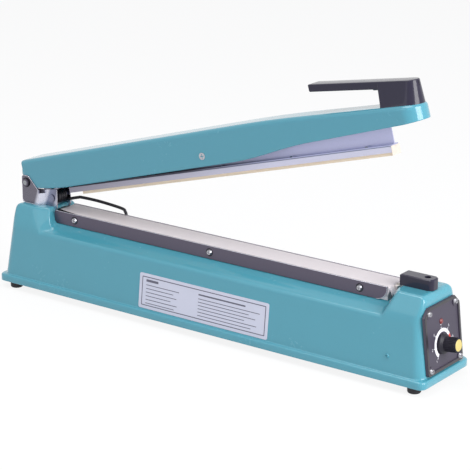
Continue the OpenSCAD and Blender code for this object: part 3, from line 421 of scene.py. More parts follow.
def banded_metal(name, roughness, direction, lo, hi, stops, look=PLATED, metallic=1.0):
    """Plated sheet whose colour is painted brighter and darker in bands along a direction: painted reflections of a
    studio's cards, and painted shade.
    """
    mat = surface(name, stops[0][1], roughness, metallic, look=look)
    tree = mat.node_tree
    n, link = tree.nodes, tree.links.new
    coord = n.new("ShaderNodeTexCoord")
    along = add_node(tree, "ShaderNodeVectorMath", "DOT_PRODUCT", coord.outputs["Object"], direction)
    span = n.new("ShaderNodeMapRange")
    set_inputs(span, From_Min=lo, From_Max=hi)
    link(along.outputs["Value"], span.inputs["Value"])
    ramp = n.new("ShaderNodeValToRGB")
    while len(ramp.color_ramp.elements) < len(stops):
        ramp.color_ramp.elements.new(0.5)
    for element, (place, color) in zip(ramp.color_ramp.elements, stops):
        element.position = place
        element.color = (*color, 1)
    link(span.outputs[0], ramp.inputs["Fac"])
    mottle = next(x for x in n if x.type == "GROUP" and x.node_tree == MOTTLE)
    link(ramp.outputs["Color"], mottle.inputs["Color"])
    return mat


def base_x(x):
    """X in the shared frame, in metres, of a distance from the left end of the base."""
    return (x - MID_X) * 0.001


# Painted shade and reflection: dark towards the hinge end, where the web lies in shade under the arm's edge, and
# light towards the nose as a painted reflection.
bar_steel = banded_metal("bar steel", 0.38, (1, 0, 0), -0.2, 0.2, [
    (0.0, rgb(58, 54, 64)), (0.40, rgb(92, 90, 106)), (0.60, rgb(172, 174, 204)), (0.72, rgb(186, 188, 220))],
    look=BRUSHED_X, metallic=0.7)
# Painted reflection and shade: darker towards the hinge end and lighter towards the nose.
rail_metal = banded_metal("rail aluminium", 0.34, (1, 0, 0), -0.2, 0.2, [
    (0.0, rgb(146, 142, 156)), (0.30, rgb(176, 174, 190)), (0.65, rgb(206, 206, 226)), (1.0, rgb(206, 206, 226))],
    look=BRUSHED_X, metallic=0.7)
# Painted reflection: dark grey on the ear, a bright band over the bend, and a bluer grey with a bright streak on the
# inner plate. Together they stand in for the studio reflected in the steel.
bracket_steel = banded_metal("bracket plate", 0.26, (1, 0, -0.35), base_x(14) - 0.04, base_x(62) - 0.03, [
    (0.0, rgb(112, 109, 120)), (0.42, rgb(112, 109, 120)), (0.50, rgb(212, 213, 228)), (0.60, rgb(206, 207, 222)),
    (0.66, rgb(128, 134, 158)), (0.80, rgb(120, 122, 142)), (0.88, rgb(200, 200, 214)), (1.0, rgb(96, 92, 102))])

LOOKS = [
    (paint_base, "base_housing side_screws"),
    (plated_steel, "bottom_plate timer_pot bar_hanger"),
    (rubber, "rubber_feet cord_gland"),
    (screw_steel, "foot_screws bracket_screws jaw_screws clamp_screws transformer_screws panel_screws "
                  "handle_screws striker bar_pin guide_screw bar_rivets"),
    (bracket_steel, "hinge_bracket spring_shaft"),
    (clamp_steel, "hinge_pin front_clamp_plate rear_clamp_plate"),
    (black_steel, "lift_spring press_spring"),
    (jaw_metal, "jaw_bar"),
    (insulation_and_shade_mat, "insulating_strip"),
    (band_metal, "heating_band"),
    (slip_cloth_mat, "slip_cloth"),
    (tin_plate, "left_terminal right_terminal"),
    (dark_plastic, "switch_block handle"),
    (inner_plastic, "microswitch board_parts switch_plunger"),
    (core_steel, "transformer_core"),
    (winding, "transformer_coil"),
    (board_green, "timer_board"),
    (brass, "board_posts"),
    (lamp_red, "pilot_lamp"),
    (panel_plastic, "end_panel"),
    (paint_arm, "arm_channel"),
    (bar_steel, "bar_web"),
    (rail_metal, "bar_rail"),
    (silicone_mat, "silicone_strip"),
    (cap_silicone, "rail_end_cap"),
    (knob_plastic, "timer_knob"),
    (cap_yellow, "knob_cap"),
]
for look, node_names in LOOKS:
    for node_name in node_names.split():
        for material_slot in nodes[node_name].material_slots:
            material_slot.material = look


# Base housing

def wall_inset(z):
    """How far the leaning wall stands in from the lip's outline at a height."""
    return LIP_STEP + LEAN * (z - LIP_H)


def outside_round_rect(x, y, inset, r):
    """Signed distance in plan from the base outline moved in by inset, its corners of radius r."""
    qx = np.abs(x - BASE_L / 2) - (BASE_L / 2 - inset - r)
    qy = np.abs(y) - (BASE_W / 2 - inset - r)
    return np.hypot(np.maximum(qx, 0), np.maximum(qy, 0)) + np.minimum(np.maximum(qx, qy), 0) - r


def flank_height(x):
    """Saddle profile along the base: floor, a fillet of radius 16, then the flank leaning 20 degrees."""
    lean, r = math.radians(20), 16.0
    d = np.minimum(x, BASE_L - x) - HUMP_L
    top = HUMP_H - d / math.tan(lean)
    inset = (HUMP_H - CREASE_H - r * (1 - math.sin(lean))) * math.tan(lean) + r * math.cos(lean)
    u = np.clip(inset - d, 0, r * math.cos(lean))
    fillet = CREASE_H + r - np.sqrt(r * r - u * u)
    return np.where(d > inset, CREASE_H, np.where(inset - d < r * math.cos(lean), fillet, top))


LEFT_SHIFT, RIGHT_SHIFT = 11.0, 3.0


def facet_height(x, y, normal, through):
    """Height of a plane given by its normal and a point on it."""
    return through[2] - (normal[0] * (x - through[0]) + normal[1] * (y - through[1])) / normal[2]


# Which way the flat facets face (along, out, up), and a point on each
SIDE_FACET, INNER_FACET = (0.25, 0.81, 0.53), (0.50, 0.79, 0.34)
CREASE_POINT = (51, 34.5, 66)  # where these two, on the hinge's hump, meet the long chamfer
SWITCH_FACET, SWITCH_FACET_POINT = (0.751, 0.412, 0.516), (49, 14, HUMP_H)
CHAMFER_OUT, CHAMFER_UP, CHAMFER_SLANT = 16.0, 7.2, 17.55


def hump_corner(x, y):
    """Height of the flat facets that cut each hump's inner corner: planes leaning in towards the middle of the base
    and out towards its long sides, two that meet in a crease on the hinge's hump and one on the switch's."""
    y = np.abs(y)
    left = np.minimum(facet_height(x, y, SIDE_FACET, CREASE_POINT), facet_height(x, y, INNER_FACET, CREASE_POINT))
    right = facet_height(BASE_L - x, y, SWITCH_FACET, SWITCH_FACET_POINT)
    return np.where(x < BASE_L / 2, left, right)


def top_height(x, y):
    """Height of the top: the humps, cut down by the saddle to the higher of ridge, shoulder and flank. Each flank
    is shifted lengthwise to where the photo shows it, and edges are blended over 2 to 3 mm."""
    crease_half = BASE_W / 2 - wall_inset(CREASE_H)
    slope = (RIDGE_H - CREASE_H) / (crease_half - RIDGE_HALF)
    ridge = RIDGE_H - slope * smooth_max(np.abs(y) - RIDGE_HALF, 0 * y, 2.0)
    ramp = HUMP_H - RAMP_FALL * np.clip((x - RAMP_X) / RAMP_L, 0, 1)
    ramp = np.where((x < RAMP_X + RAMP_L) & (np.abs(y) < RAMP_HALF), ramp, 0.0)
    near = np.where(x < BASE_L / 2, x - LEFT_SHIFT, np.minimum(x + RIGHT_SHIFT, BASE_L))
    flank = smooth_max(np.minimum(flank_height(near), hump_corner(x, y)), 0 * x + CREASE_H, 2.0)
    saddle = np.maximum(smooth_max(ridge, flank, 3.0), np.minimum(ramp, hump_corner(x, y)))
    return smooth_min(saddle, np.full_like(saddle, HUMP_H), 2.5)


def outside_housing(x, y, z):
    """Distance-like value that is zero on the painted skin: walls and top blended with a round edge, wider over
    the humps' outer ends, and cut by the long chamfer that the humps' front and back edges have."""
    top = top_height(x, y)
    wall = outside_round_rect(x, y, wall_inset(z), WALL_R)
    at_end = smooth_step(np.abs(x - BASE_L / 2), 240, 262) * (1 - smooth_step(np.abs(y), 22, 32))
    body = smooth_max(wall, z - top, 3.0 + smooth_step(top, 78, 87) * 4.0 * at_end)
    past_crease = CHAMFER_OUT * (np.abs(y) - CREASE_POINT[1]) + CHAMFER_UP * (z - CREASE_POINT[2])
    return smooth_max(body, past_crease / CHAMFER_SLANT, 2.5)


def zero_reach(outside, like, limit):
    """Distance along each ray to where a value that grows outwards is zero, found by halving."""
    lo, hi = np.zeros_like(like), np.full_like(like, limit)
    for _ in range(40):
        mid = (lo + hi) / 2
        out = outside(mid) > 0
        lo, hi = np.where(out, lo, mid), np.where(out, mid, hi)
    return lo


def housing_grid():
    """Grid of the skin: rays from a line inside the base, fanned round its two ends, run out to the zero surface;
    below the foot of the wall the rows follow the lip's round outline."""
    x0, x1, zc = 28.0, BASE_L - 28.0, 30.0
    fine, dense_to = 0.9, 72
    run = np.concatenate([np.arange(x0, dense_to, fine), np.linspace(dense_to, BASE_L - dense_to, 60)[:-1],
                          np.arange(BASE_L - dense_to, x1, fine)])
    fan = np.linspace(-90, 90, 61)[1:-1]
    cx = np.concatenate([run, np.full(len(fan) + 2, x1), run[::-1], np.full(len(fan) + 2, x0)])
    ang = np.concatenate([np.full(len(run), -90), np.r_[-90, fan, 90], np.full(len(run), 90),
                          np.r_[90, 180 - fan[::-1], 270]])
    keep = np.ones(len(cx), bool)
    keep[1:] = (np.abs(np.diff(cx)) > 1e-6) | (np.abs(np.diff(ang)) > 1e-6)
    cx, ang = cx[keep], np.radians(ang[keep])
    dx, dy = np.cos(ang), np.sin(ang)

    def plan_reach(inset, r):
        return zero_reach(lambda d: outside_round_rect(cx + dx * d, dy * d, inset, r), cx, 80.0)

    foot = plan_reach(LIP_STEP, WALL_R)
    foot_ang = np.arctan2(LIP_H + 0.8 - zc, foot)
    t = np.linspace(0, 1, 84)[:, None]
    phi = np.pi / 2 + (foot_ang - np.pi / 2) * t
    c, s = np.cos(phi), np.sin(phi)
    reach = zero_reach(lambda d: outside_housing(cx + dx * c * d, dy * c * d, zc + s * d), phi, 90.0)
    skin = np.stack([cx + dx * c * reach, dy * c * reach, zc + s * reach], -1)
    lip = []
    for inset, z, r in [(LIP_STEP - 0.35, LIP_H + 0.2, WALL_R), (LIP_STEP - 1.0, LIP_H, 9.4), (1.7, LIP_H, 8.7),
                        (0.9, LIP_H - 0.25, 7.9), (0.3, LIP_H - 0.85, 7.3), (0, LIP_H - 1.8, 7.0), (0, 0.5, 7.0),
                        (0.15, 0.12, 6.9), (0.5, 0, 6.6), (1.7, 0, 5.4)]:
        reach = plan_reach(inset, r)
        lip.append(np.stack([cx + dx * reach, dy * reach, np.full_like(cx, z)], -1))
    return np.concatenate([skin, np.array(lip)])


skin_grid = housing_grid()
housing = make_piece("housing_skin", in_base(skin_grid), grid_faces(*skin_grid.shape[:2], close_cols=True),
                     paint_base, "base", merge=0.00002, flip=True)
thicken(housing, 0.0012)
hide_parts("base_housing")


# Arm

def arm_roof(x):
    """Height of the arm's roof above the pin: level, then falling, with the slope fed in over ARM_FEED."""
    full, half_feed = math.tan(math.radians(ARM_FALL)), ARM_FEED / 2
    u = np.clip((np.asarray(x, float) - (ARM_BEND - half_feed)) / ARM_FEED, 0, 1)
    past = np.maximum(np.asarray(x, float) - (ARM_BEND + half_feed), 0)
    return ARM_TOP - full * (half_feed * u * u + past)


LUG_END, SWEEP_FROM, SWEEP_TO = 56, 288, 398
EDGE_LOW, EDGE_AT_SWEEP_TO = -12.1, -3.8


def arm_edge(x):
    """Height of the arm's lower edge: lug, straight run, half a cosine up towards the nose, then the nose."""
    x = np.asarray(x, float)
    share = np.clip((x - SWEEP_FROM) / (SWEEP_TO - SWEEP_FROM), 0, 1)
    sweep = EDGE_LOW + (EDGE_AT_SWEEP_TO - EDGE_LOW) * (1 - np.cos(np.pi * share)) / 2
    lug = np.interp(x, [-1.6, 16.8, 34, LUG_END], [-6.0, -8.8, -10.9, EDGE_LOW])
    nose = np.interp(x, [SWEEP_TO, ARM_L - ARM_HALF, ARM_L], [EDGE_AT_SWEEP_TO, -0.9, 0.0])
    return np.where(x < LUG_END, lug, np.where(x > SWEEP_TO, nose, sweep))


def arm_left_edge(z):
    """Where the side wall ends towards the hinge: upright, then sloping out, then round the pin's lug."""
    lug_r, lug_top, slope_foot = 6.2, 1.8, 5
    slope = -1 - 0.3 * np.clip(16 - z, 0, 10)
    lug = -np.sqrt(np.maximum(lug_r ** 2 - z ** 2, 0))
    between = slope + (lug - slope) * (slope_foot - z) / (slope_foot - lug_top)
    return np.where(z > slope_foot, slope, np.where(z > lug_top, between, lug))


def arm_shell():
    """The U section (up a wall, round the fold, half the roof) carried along the arm, swept half a turn round the
    nose, and mirrored; the wall above the pin closes the hinge end. Returns grids with how their faces turn."""
    r, half, nose_x = ARM_FOLD, ARM_HALF, ARM_L - ARM_HALF
    end_low, end_run, end_cols, wall_rows = 9.0, 20, 13, 17
    up = np.linspace(0, 1, wall_rows)
    fold = np.radians(np.linspace(0, 90, 9))[1:]
    flat = np.linspace(1, 0, 7)[1:]

    def column(x):
        low, top = arm_edge(x), arm_roof(x)
        z = low + (top - r - low) * up
        y = np.full_like(z, half)
        z = np.concatenate([z, top - r + r * np.sin(fold), np.full(len(flat), top)])
        y = np.concatenate([y, half - r + r * np.cos(fold), (half - r) * flat])
        return y, z

    xs = np.concatenate([np.linspace(0, end_run, 9), np.linspace(24, 280, 48), np.linspace(284, 410, 43),
                         np.linspace(414, nose_x, 24)])
    run = []
    for i, x in enumerate(xs):
        y, z = column(x - 1.6 if i == 0 else x)
        share = np.clip(1 - x / end_run, 0, 1)
        run.append(np.stack([x + share * arm_left_edge(z), -y, z], -1))
    run = np.array(run)
    nose = []
    for a in np.radians(np.linspace(0, 180, 49)):
        x_tip = nose_x + half * math.sin(a)
        y, z = column(x_tip)
        roof_here = arm_roof(nose_x + y * math.sin(a))
        z = np.where(np.arange(len(z)) >= wall_rows, z - arm_roof(x_tip) + roof_here, z)
        nose.append(np.stack([nose_x + y * math.sin(a), -y * math.cos(a), z], -1))
    nose = np.array(nose)
    wall = run[0][run[0][:, 2] >= end_low]
    wall = np.vstack([[arm_left_edge(end_low), -half, end_low], wall])
    k = np.linspace(-1, 1, end_cols)
    end = np.stack([np.broadcast_to(wall[:, None, 0], (len(wall), end_cols)), -wall[:, None, 1] * k[None, :],
                    np.broadcast_to(wall[:, None, 2], (len(wall), end_cols))], -1)
    return [(run, False), (run * [1, -1, 1], True), (nose, False), (end, False)]


arm_points, arm_faces = join_grids(arm_shell())
arm = make_piece("arm_shell", on_arm(arm_points), arm_faces, paint_arm, "arm",
                 merge=0.00002, sharp_deg=35)
thicken(arm, 0.0015)
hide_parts("arm_channel")


# Lift spring and press spring

SPRING_X, SPRING_Z, WIRE = 53.0, HUMP_H + 9.2, 3.4
COIL_R, TURNS = 3.5 + 0.6 + WIRE / 2, 4
COIL_W = (WIRE + 0.25) * TURNS
LEG_Y = 14.5 + 1.4 + WIRE / 2 + 0.9

low_leg = smooth_path(np.array([
    [81, LEG_Y, RIDGE_H + 1], [81, LEG_Y, CLOTH_TOP - 3], [79.4, LEG_Y, CLOTH_TOP + 2.6],
    [74, LEG_Y, CLOTH_TOP + 5.5], [44, LEG_Y - 0.6, CLOTH_TOP + 8], [22, LEG_Y - 4.5, CLOTH_TOP + 9.6],
    [17, LEG_Y - 6.2, CLOTH_TOP + 9.2], [9.5, COIL_W / 2 + 0.4, CLOTH_TOP + 7.6],
    [2, COIL_W / 2, SPRING_Z - 5.45]]) + [SPRING_X, 0, 0], 10)
coil_turn = np.linspace(0, 1, 190)
coil_angle = np.radians(-70 - 20 * (18 * TURNS + 6) * coil_turn)
coil = np.stack([SPRING_X + COIL_R * np.cos(coil_angle), COIL_W / 2 - COIL_W * coil_turn,
                 SPRING_Z + COIL_R * np.sin(coil_angle)], -1)
spring_coil = tube_piece("lift_spring_coil", np.vstack([low_leg[:-1], coil]), WIRE / 2, black_steel, "base",
                         in_base, 14)
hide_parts("lift_spring")

roof_leg = np.array([[x, -COIL_W / 2, z] for x, z in ((38, 2), (62, 8.5), (92, 18), (104, 19.4), (112, 18))])
roof_leg = turned(roof_leg, -ARM_OPEN) + np.array([PIVOT[0], 0, PIVOT[1]])
leg_path = smooth_path(np.vstack([coil[-3], roof_leg]), 10)
spring_leg = tube_piece("lift_spring_leg", leg_path, WIRE / 2, black_steel, None, in_base, 14)
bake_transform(spring_leg)


BAR_PIN_X, BAR_DOWN, SPRING_FROM_PIN = 62.0, 8.0, 108.0
PRESS_X, PRESS_R, PRESS_WIRE, PRESS_TURNS = BAR_PIN_X + SPRING_FROM_PIN, 4.4, 1.2, 7
FLAT_SHARE = 0.08  # of the winding, laid flat at each end
press_low = -1 - BAR_DOWN - SPRING_FROM_PIN * math.sin(math.radians(BAR_SAG)) + PRESS_WIRE / 2 + 0.3
press_high = ARM_TOP - 1.5 - PRESS_WIRE / 2 - 0.3
wind = np.linspace(0, 1, 40 * PRESS_TURNS)
rise = np.clip((wind - FLAT_SHARE) / (1 - 2 * FLAT_SHARE), 0, 1)
flat_ends = np.clip(wind / FLAT_SHARE, 0, 1) + np.clip((wind - 1 + FLAT_SHARE) / FLAT_SHARE, 0, 1)
press_path = np.stack([PRESS_X + PRESS_R * np.cos(2 * np.pi * PRESS_TURNS * wind),
                       PRESS_R * np.sin(2 * np.pi * PRESS_TURNS * wind),
                       press_low + (press_high - press_low - 2 * PRESS_WIRE) * rise
                       + PRESS_WIRE / 2 * flat_ends], -1)
press_coil = tube_piece("press_spring_coil", press_path, PRESS_WIRE / 2, black_steel, None, on_arm, 10)
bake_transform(press_coil)
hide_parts("press_spring")


# Slip cloth

FLAP_L, FLAP_R = 4.5, 9.5  # cloth past the jaw's left and right end


def cloth_grid():
    """Section of the cloth (up one side, round the edge, across, down the other) carried along the jaw. Past the
    jaw's right end it bends down by flap_turn and hangs as a flap, drawn together towards its top; at the hinge
    end it droops, and its front edge is drawn in from the clamp plate, most at the end and fading out."""
    half, r = CLAMP_Y, 0.9
    bend, flap_turn, droop, draw_in, draw_over = 2.0, math.radians(66), 3.0, 3.4, 34
    lowest = RIDGE_H + 0.6
    a = np.linspace(0, np.pi / 2, 6)
    up = np.stack([np.full(4, -half), np.linspace(CLOTH_TOP - 10, CLOTH_TOP - r, 5)[:-1]], -1)
    left = np.stack([-half + r - r * np.cos(a), CLOTH_TOP - r + r * np.sin(a)], -1)
    across = np.stack([np.linspace(-half + r, half - r, 15)[1:-1], np.full(13, CLOTH_TOP)], -1)
    right = left[::-1] * [-1, 1]
    section = np.vstack([up, left, across, right, up[::-1] * [-1, 1]])
    along = np.concatenate([np.linspace(-FLAP_L, 0, 10), np.linspace(1.5, JAW_L - 1.5, 100),
                            np.linspace(JAW_L, JAW_L + FLAP_R, 18)])
    past = np.maximum(along - JAW_L, 0)
    turn = np.clip(past / bend, 0, flap_turn)
    straight = np.maximum(past - bend * flap_turn, 0)
    x = np.minimum(along, JAW_L) + bend * np.sin(turn) + straight * math.cos(flap_turn)
    drop = bend * (1 - np.cos(turn)) + straight * math.sin(flap_turn)
    drop = drop + droop * np.clip(-along / FLAP_L, 0, 1) ** 2
    ripple = 0.05 * np.sin(x / 17.0) + 0.04 * np.sin(x / 7.3 + 1)
    shape = np.broadcast_to(section[None], (len(x), *section.shape)).copy()
    lift = np.clip((shape[..., 1] - CLOTH_TOP + 2) / 2, 0, 1)
    y = shape[..., 0]
    drawn = np.clip(1 - (along + FLAP_L) / draw_over, 0, 1)[:, None] ** 0.8 * draw_in
    y = y + np.where(y < 0, drawn * np.clip((-y - 7) / (half - 7), 0, 1), 0)
    z = shape[..., 1] - lift * (0.1 - ripple)[:, None] * (1 - (shape[..., 0] / half) ** 2)
    hang = np.clip(past / 3.0, 0, 1)[:, None]
    z = z - drop[:, None]
    z = z + (CLOTH_TOP - drop[:, None] - z) * hang * 0.92
    y = y * (1 - 0.06 * hang)
    return np.stack([np.broadcast_to(JAW_X + x[:, None], z.shape), y, np.maximum(z, lowest)], -1)


cloth_points = cloth_grid()
cloth = make_piece("slip_cloth_sheet", in_base(cloth_points), grid_faces(*cloth_points.shape[:2]), slip_cloth_mat,
                   "base", sharp_deg=70)
thicken(cloth, 0.0002)
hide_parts("slip_cloth")


def gap_shadow_wedge():
    """Painted shadow: a thin near-black wedge that stands on the front clamp plate at the hinge end, where shade
    falls in the gap between plate and cloth; high at the end of the jaw and running out to nothing."""
    rows, length, height = 14, 31, 2.4
    t = np.linspace(0, 1, rows)
    x, top = JAW_X + 0.3 + length * t, CLOTH_TOP + 0.02 + height * (1 - t) ** 1.2
    low, y0, y1 = (np.full(rows, v) for v in (CLOTH_TOP - 0.5, -CLAMP_Y - 0.7, -CLAMP_Y - 0.3))
    ring = np.stack([np.stack(c, -1) for c in ((x, y0, low), (x, y1, low), (x, y1, top), (x, y0, top))], 1)
    faces = np.vstack([grid_faces(rows, 4, True), [[3, 2, 1, 0]], 4 * (rows - 1) + np.array([[0, 1, 2, 3]])])
    return make_piece("gap_shadow_wedge", in_base(ring), faces, insulation_and_shade_mat, "base", smooth=False)


# Painted shadow in the gap between the front clamp plate and the cloth at the hinge end.
gap_shadow_wedge()


# Handle

def stadium(x0, x1, width, r0, n=10):
    """Outline in plan, run anticlockwise: rounded corners of radius r0 at x0, a half circle at x1."""
    w = width / 2
    side = np.linspace(0, 1, 12)[1:-1][:, None]
    a = arc(x1 - w, 0, w, -90, 90, 4 * n + 1)
    b = arc(x0 + r0, w - r0, r0, 90, 180, n)
    c = arc(x0 + r0, r0 - w, r0, 180, 270, n)
    return np.vstack([a, a[-1] + (b[0] - a[-1]) * side, b, c, c[-1] + (a[0] - c[-1]) * side])


def leaning_ring(outline, height, lean_deg):
    """A plan outline laid on a plane that falls towards the nose; height is the plane's at the nose."""
    z = height + (ARM_L - outline[:, 0]) * math.tan(math.radians(lean_deg))
    return np.column_stack([outline, z])


def closed_loft(rings):
    """Rings closed at both ends by drawing the first and last in to their middle line."""
    first, last = rings[0].copy(), rings[-1].copy()
    for ring in (first, last):
        ring[:, 1] *= 0.0
    return np.array([first, *rings, last])


GRIP_L, GRIP_UP, GRIP_T, GRIP_W, GRIP_LEAN, GRIP_EDGE = 120, 23.5, 7.5, 19.0, 6.3, 1.1
RISER_L, RISER_W, LUG_L = 40, 29.0, 48


def handle_lofts():
    """The grip, a leaning bar with rounded edges; the riser, which narrows from the arm up to the grip and has a
    small flare at its foot; and the low lug under the grip behind it."""
    foot = ARM_TOP - math.tan(math.radians(ARM_FALL)) * (ARM_L - ARM_BEND) + 0.1
    top, lean, w, r = foot + GRIP_UP, GRIP_LEAN, GRIP_W, GRIP_EDGE
    a = np.radians(np.linspace(0, 90, 6))
    grip = []
    levels = [(k, top - GRIP_T + r * (1 - math.cos(k))) for k in a]
    levels += [(k, top - r * (1 - math.cos(k))) for k in a[::-1]]
    for k, height in levels:
        inset = r * (1 - math.sin(k))
        outline = stadium(ARM_L - GRIP_L + inset, ARM_L - inset, w - 2 * inset, 0.8)
        grip.append(leaning_ring(outline, height, lean))
    riser = []
    for k in np.linspace(0, 1, 14):
        flare = 0.5 * max(0, 1 - k * 8)
        outline = stadium(ARM_L - RISER_L - k - flare, ARM_L, RISER_W + (w - RISER_W) * k ** 0.9, 1.5)
        riser.append(leaning_ring(outline, foot + (GRIP_UP - r - 0.4) * k, ARM_FALL + (lean - ARM_FALL) * k))
    lug = [leaning_ring(stadium(ARM_L - LUG_L + d, ARM_L - 8, w - 4 - 2 * d, 1.0), top - GRIP_T - z, lean)
           for d, z in ((0, -1.0), (0, 0.6), (0.4, 1.0))]
    return [(closed_loft(rings), False) for rings in (grip, riser, lug)]


handle_points, handle_faces = join_grids(handle_lofts(), close_cols=True)
handle = make_piece("handle_shell", on_arm(handle_points), handle_faces, dark_plastic,
                    "arm", merge=0.00001, sharp_deg=40)
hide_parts("handle")


# Bright edges of the pressed steel: fine beads whose bright metal is a painted highlight on each edge

def edge_strip(name, path, radius):
    """A very fine round bead along an edge, where the sheared and polished corner catches the light; its metal is
    brighter than the plate's, a painted highlight.
    """
    return tube_piece(name, path, radius, edge_highlight_steel, "base", in_base, sides=8)


EAR_L, EAR_R, EAR_Y = PIVOT[0] - 6.3, PIVOT[0] + 17.2, 16.6 + 1.8
PLATE_X, PLATE_Y = PIVOT[0] + 38, 11.1
ear_outline = np.vstack([arc(*corner, 7) for corner in (
    (EAR_R - 0.3, HUMP_H + 0.6, 0.1, -90, 0), (EAR_R - 0.3, PIVOT[1] - 6.2, 0.1, 0, 40),
    (EAR_L + 8, PIVOT[1] + 3.8, 3.8, 40, 90), (EAR_L + 3, PIVOT[1] + 4.8, 2.8, 90, 180),
    (EAR_L + 3, HUMP_H + 3.2, 2.8, 180, 270))])
ear_path = upright(np.vstack([ear_outline, ear_outline[:1]]), -EAR_Y)
for side, radius, name in ((1, 0.75, "rear"), (-1, 0.4, "front")):
    plate_end = np.array([[PLATE_X, side * PLATE_Y, z] for z in np.linspace(CLOTH_TOP + 1, PIVOT[1] - 3.8, 12)])
    edge_strip(f"plate_edge_{name}", plate_end, radius)
edge_strip("ear_edge_front", ear_path, 0.28)
edge_strip("ear_edge_rear", ear_path * [1, -1, 1], 0.28)

JAW_END, CLAMP_R = JAW_X + JAW_L, 12
CLAMP_LOW, CLAMP_TOP, CLAMP_OUT = CLOTH_TOP - 13.9, CLOTH_TOP + 0.05, CLAMP_Y + 1.4
plate_path = upright(np.vstack([
    [[JAW_X - 2, CLAMP_TOP], [JAW_END, CLAMP_TOP], [JAW_END, CLAMP_LOW + CLAMP_R]],
    arc(JAW_END - CLAMP_R, CLAMP_LOW + CLAMP_R, CLAMP_R, 0, -90, 9)]), -CLAMP_OUT)
edge_strip("clamp_edge_front", plate_path, 0.3)
edge_strip("clamp_edge_rear", plate_path * [1, -1, 1], 0.3)


def flat_ring(name, r0, r1, centre, rise, material):
    """A flat ring (a washer, a pin's end or a dark ring of painted shade) standing on the front face of an upright
    plate.
    """
    n, (x, y, z) = 48, centre
    loops = [upright(arc(x, z, q, 0, 360, n + 1)[:-1], y - h)
             for q, h in ((r1, 0), (r1, rise), (r0, rise), (r0, 0), (r1, 0))]
    return make_piece(name, in_base(np.vstack(loops)), grid_faces(5, n, True), material, "base", smooth=False,
                      merge=WELD)


PIN_END_Y = EAR_Y + 2.2
FIRST_SCREW, SCREW_PITCH, SCREW_DOWN = 24.6, 184.5, 6.9
flat_ring("pin_peen", 0.4, 2.6, (PIVOT[0], -PIN_END_Y, PIVOT[1]), 0.2, plated_steel)
# Painted shadow: a dark ring round the pin's end, standing in for the shade in the pin's countersink.
flat_ring("pin_shade_ring", 4.4, 5.5, (PIVOT[0], -EAR_Y, PIVOT[1]), 0.25, black_steel)
for k in range(3):
    screw_at = (JAW_X + FIRST_SCREW + SCREW_PITCH * k, -CLAMP_OUT, CLOTH_TOP - SCREW_DOWN)
    flat_ring(f"clamp_washer_{k}", 3.3, 4.3, screw_at, 0.15, black_steel)


# Flat trim: label and dial

def rounded_outline(x0, x1, z0, z1, r, n=8):
    """Rounded rectangle as a loop of (across, up) points, anticlockwise."""
    corners = ((x1 - r, z0 + r, -90), (x1 - r, z1 - r, 0), (x0 + r, z1 - r, 90), (x0 + r, z0 + r, 180))
    return np.vstack([arc(cx, cz, r, a0, a0 + 90, n) for cx, cz, a0 in corners])


def band_piece(name, outer, inner, rise, place, material, base=0.0):
    """A flat band between two loops, standing rise above base, with upright sides."""
    n = len(outer)
    rows = [(outer, base), (outer, base + rise), (inner, base + rise), (inner, base), (outer, base)]
    points = np.vstack([place(loop, np.full(n, h)) for loop, h in rows])
    return make_piece(name, points, grid_faces(5, n, True), material, "base", smooth=False, merge=WELD)


def on_front_wall(loop, out):
    """Places (along, up) points on the leaning front wall, out millimetres proud of it."""
    c, s = math.cos(math.radians(LEAN_DEG)), math.sin(math.radians(LEAN_DEG))
    y = -(BASE_W / 2 - wall_inset(loop[:, 1])) - out * c
    return in_base(np.column_stack([loop[:, 0], y, loop[:, 1] + out * s]))


def on_panel(loop, out):
    """Places (sideways, up the wall) points on the end wall, out millimetres from it."""
    return on_end(np.column_stack([out, loop[:, 0], loop[:, 1]]))


LABEL_L, LABEL_R, LABEL_LOW, LABEL_HIGH, LABEL_T = 198, 365, 9.4, 47, 0.25


def label_outline(along, up, r):
    """The label's outline moved in from its ends and from its long sides, its corners of radius r."""
    return rounded_outline(LABEL_L + along, LABEL_R - along, LABEL_LOW + up, LABEL_HIGH - up, r)


label_edge = label_outline(0, 0, 2.0)
label_mid = np.tile([(LABEL_L + LABEL_R) / 2, (LABEL_LOW + LABEL_HIGH) / 2], (len(label_edge), 1))
band_piece("front_label", label_edge, label_mid, LABEL_T, on_front_wall, label_mat)
band_piece("front_label_border", label_outline(3.5, 3.2, 1.2), label_outline(4.4, 4.1, 0.8), 0.08, on_front_wall,
           label_line, base=LABEL_T)


def ruled_rows(name, bars, rise, base):
    """Plain printed bars (along, width, up, height) standing for rows of print, thin boxes on the label's face."""
    points, faces = [], []
    for k, (x, width, z, height) in enumerate(bars):
        loop = np.array([[x, z], [x + width, z], [x + width, z + height], [x, z + height]])
        points += [on_front_wall(loop, np.full(4, base)), on_front_wall(loop, np.full(4, base + rise))]
        faces += (8 * k + np.array([[4, 5, 6, 7], [3, 2, 1, 0], [0, 1, 5, 4], [1, 2, 6, 5], [2, 3, 7, 6],
                                    [3, 0, 4, 7]])).tolist()
    return make_piece(name, np.vstack(points), faces, label_line, "base", smooth=False)


COLUMN_L, COLUMN_R, ROW_T = 207, 276, 0.75
ROW_WIDTHS = [46, 38, 43, 35, 44, 40]
rows_left = [(COLUMN_L, w * 0.95, 34.6 - 3.9 * i, ROW_T) for i, w in enumerate(ROW_WIDTHS)]
rows_right = [(COLUMN_R, w * 1.7, 33.6 - 3.5 * i, ROW_T) for i, w in enumerate(ROW_WIDTHS)]
row_heads = [(COLUMN_L, 16, 38.4, 2.6), (COLUMN_R, 60, 37.6, 1.6)]
ruled_rows("front_label_rows", rows_left + rows_right + row_heads, 0.05, LABEL_T)


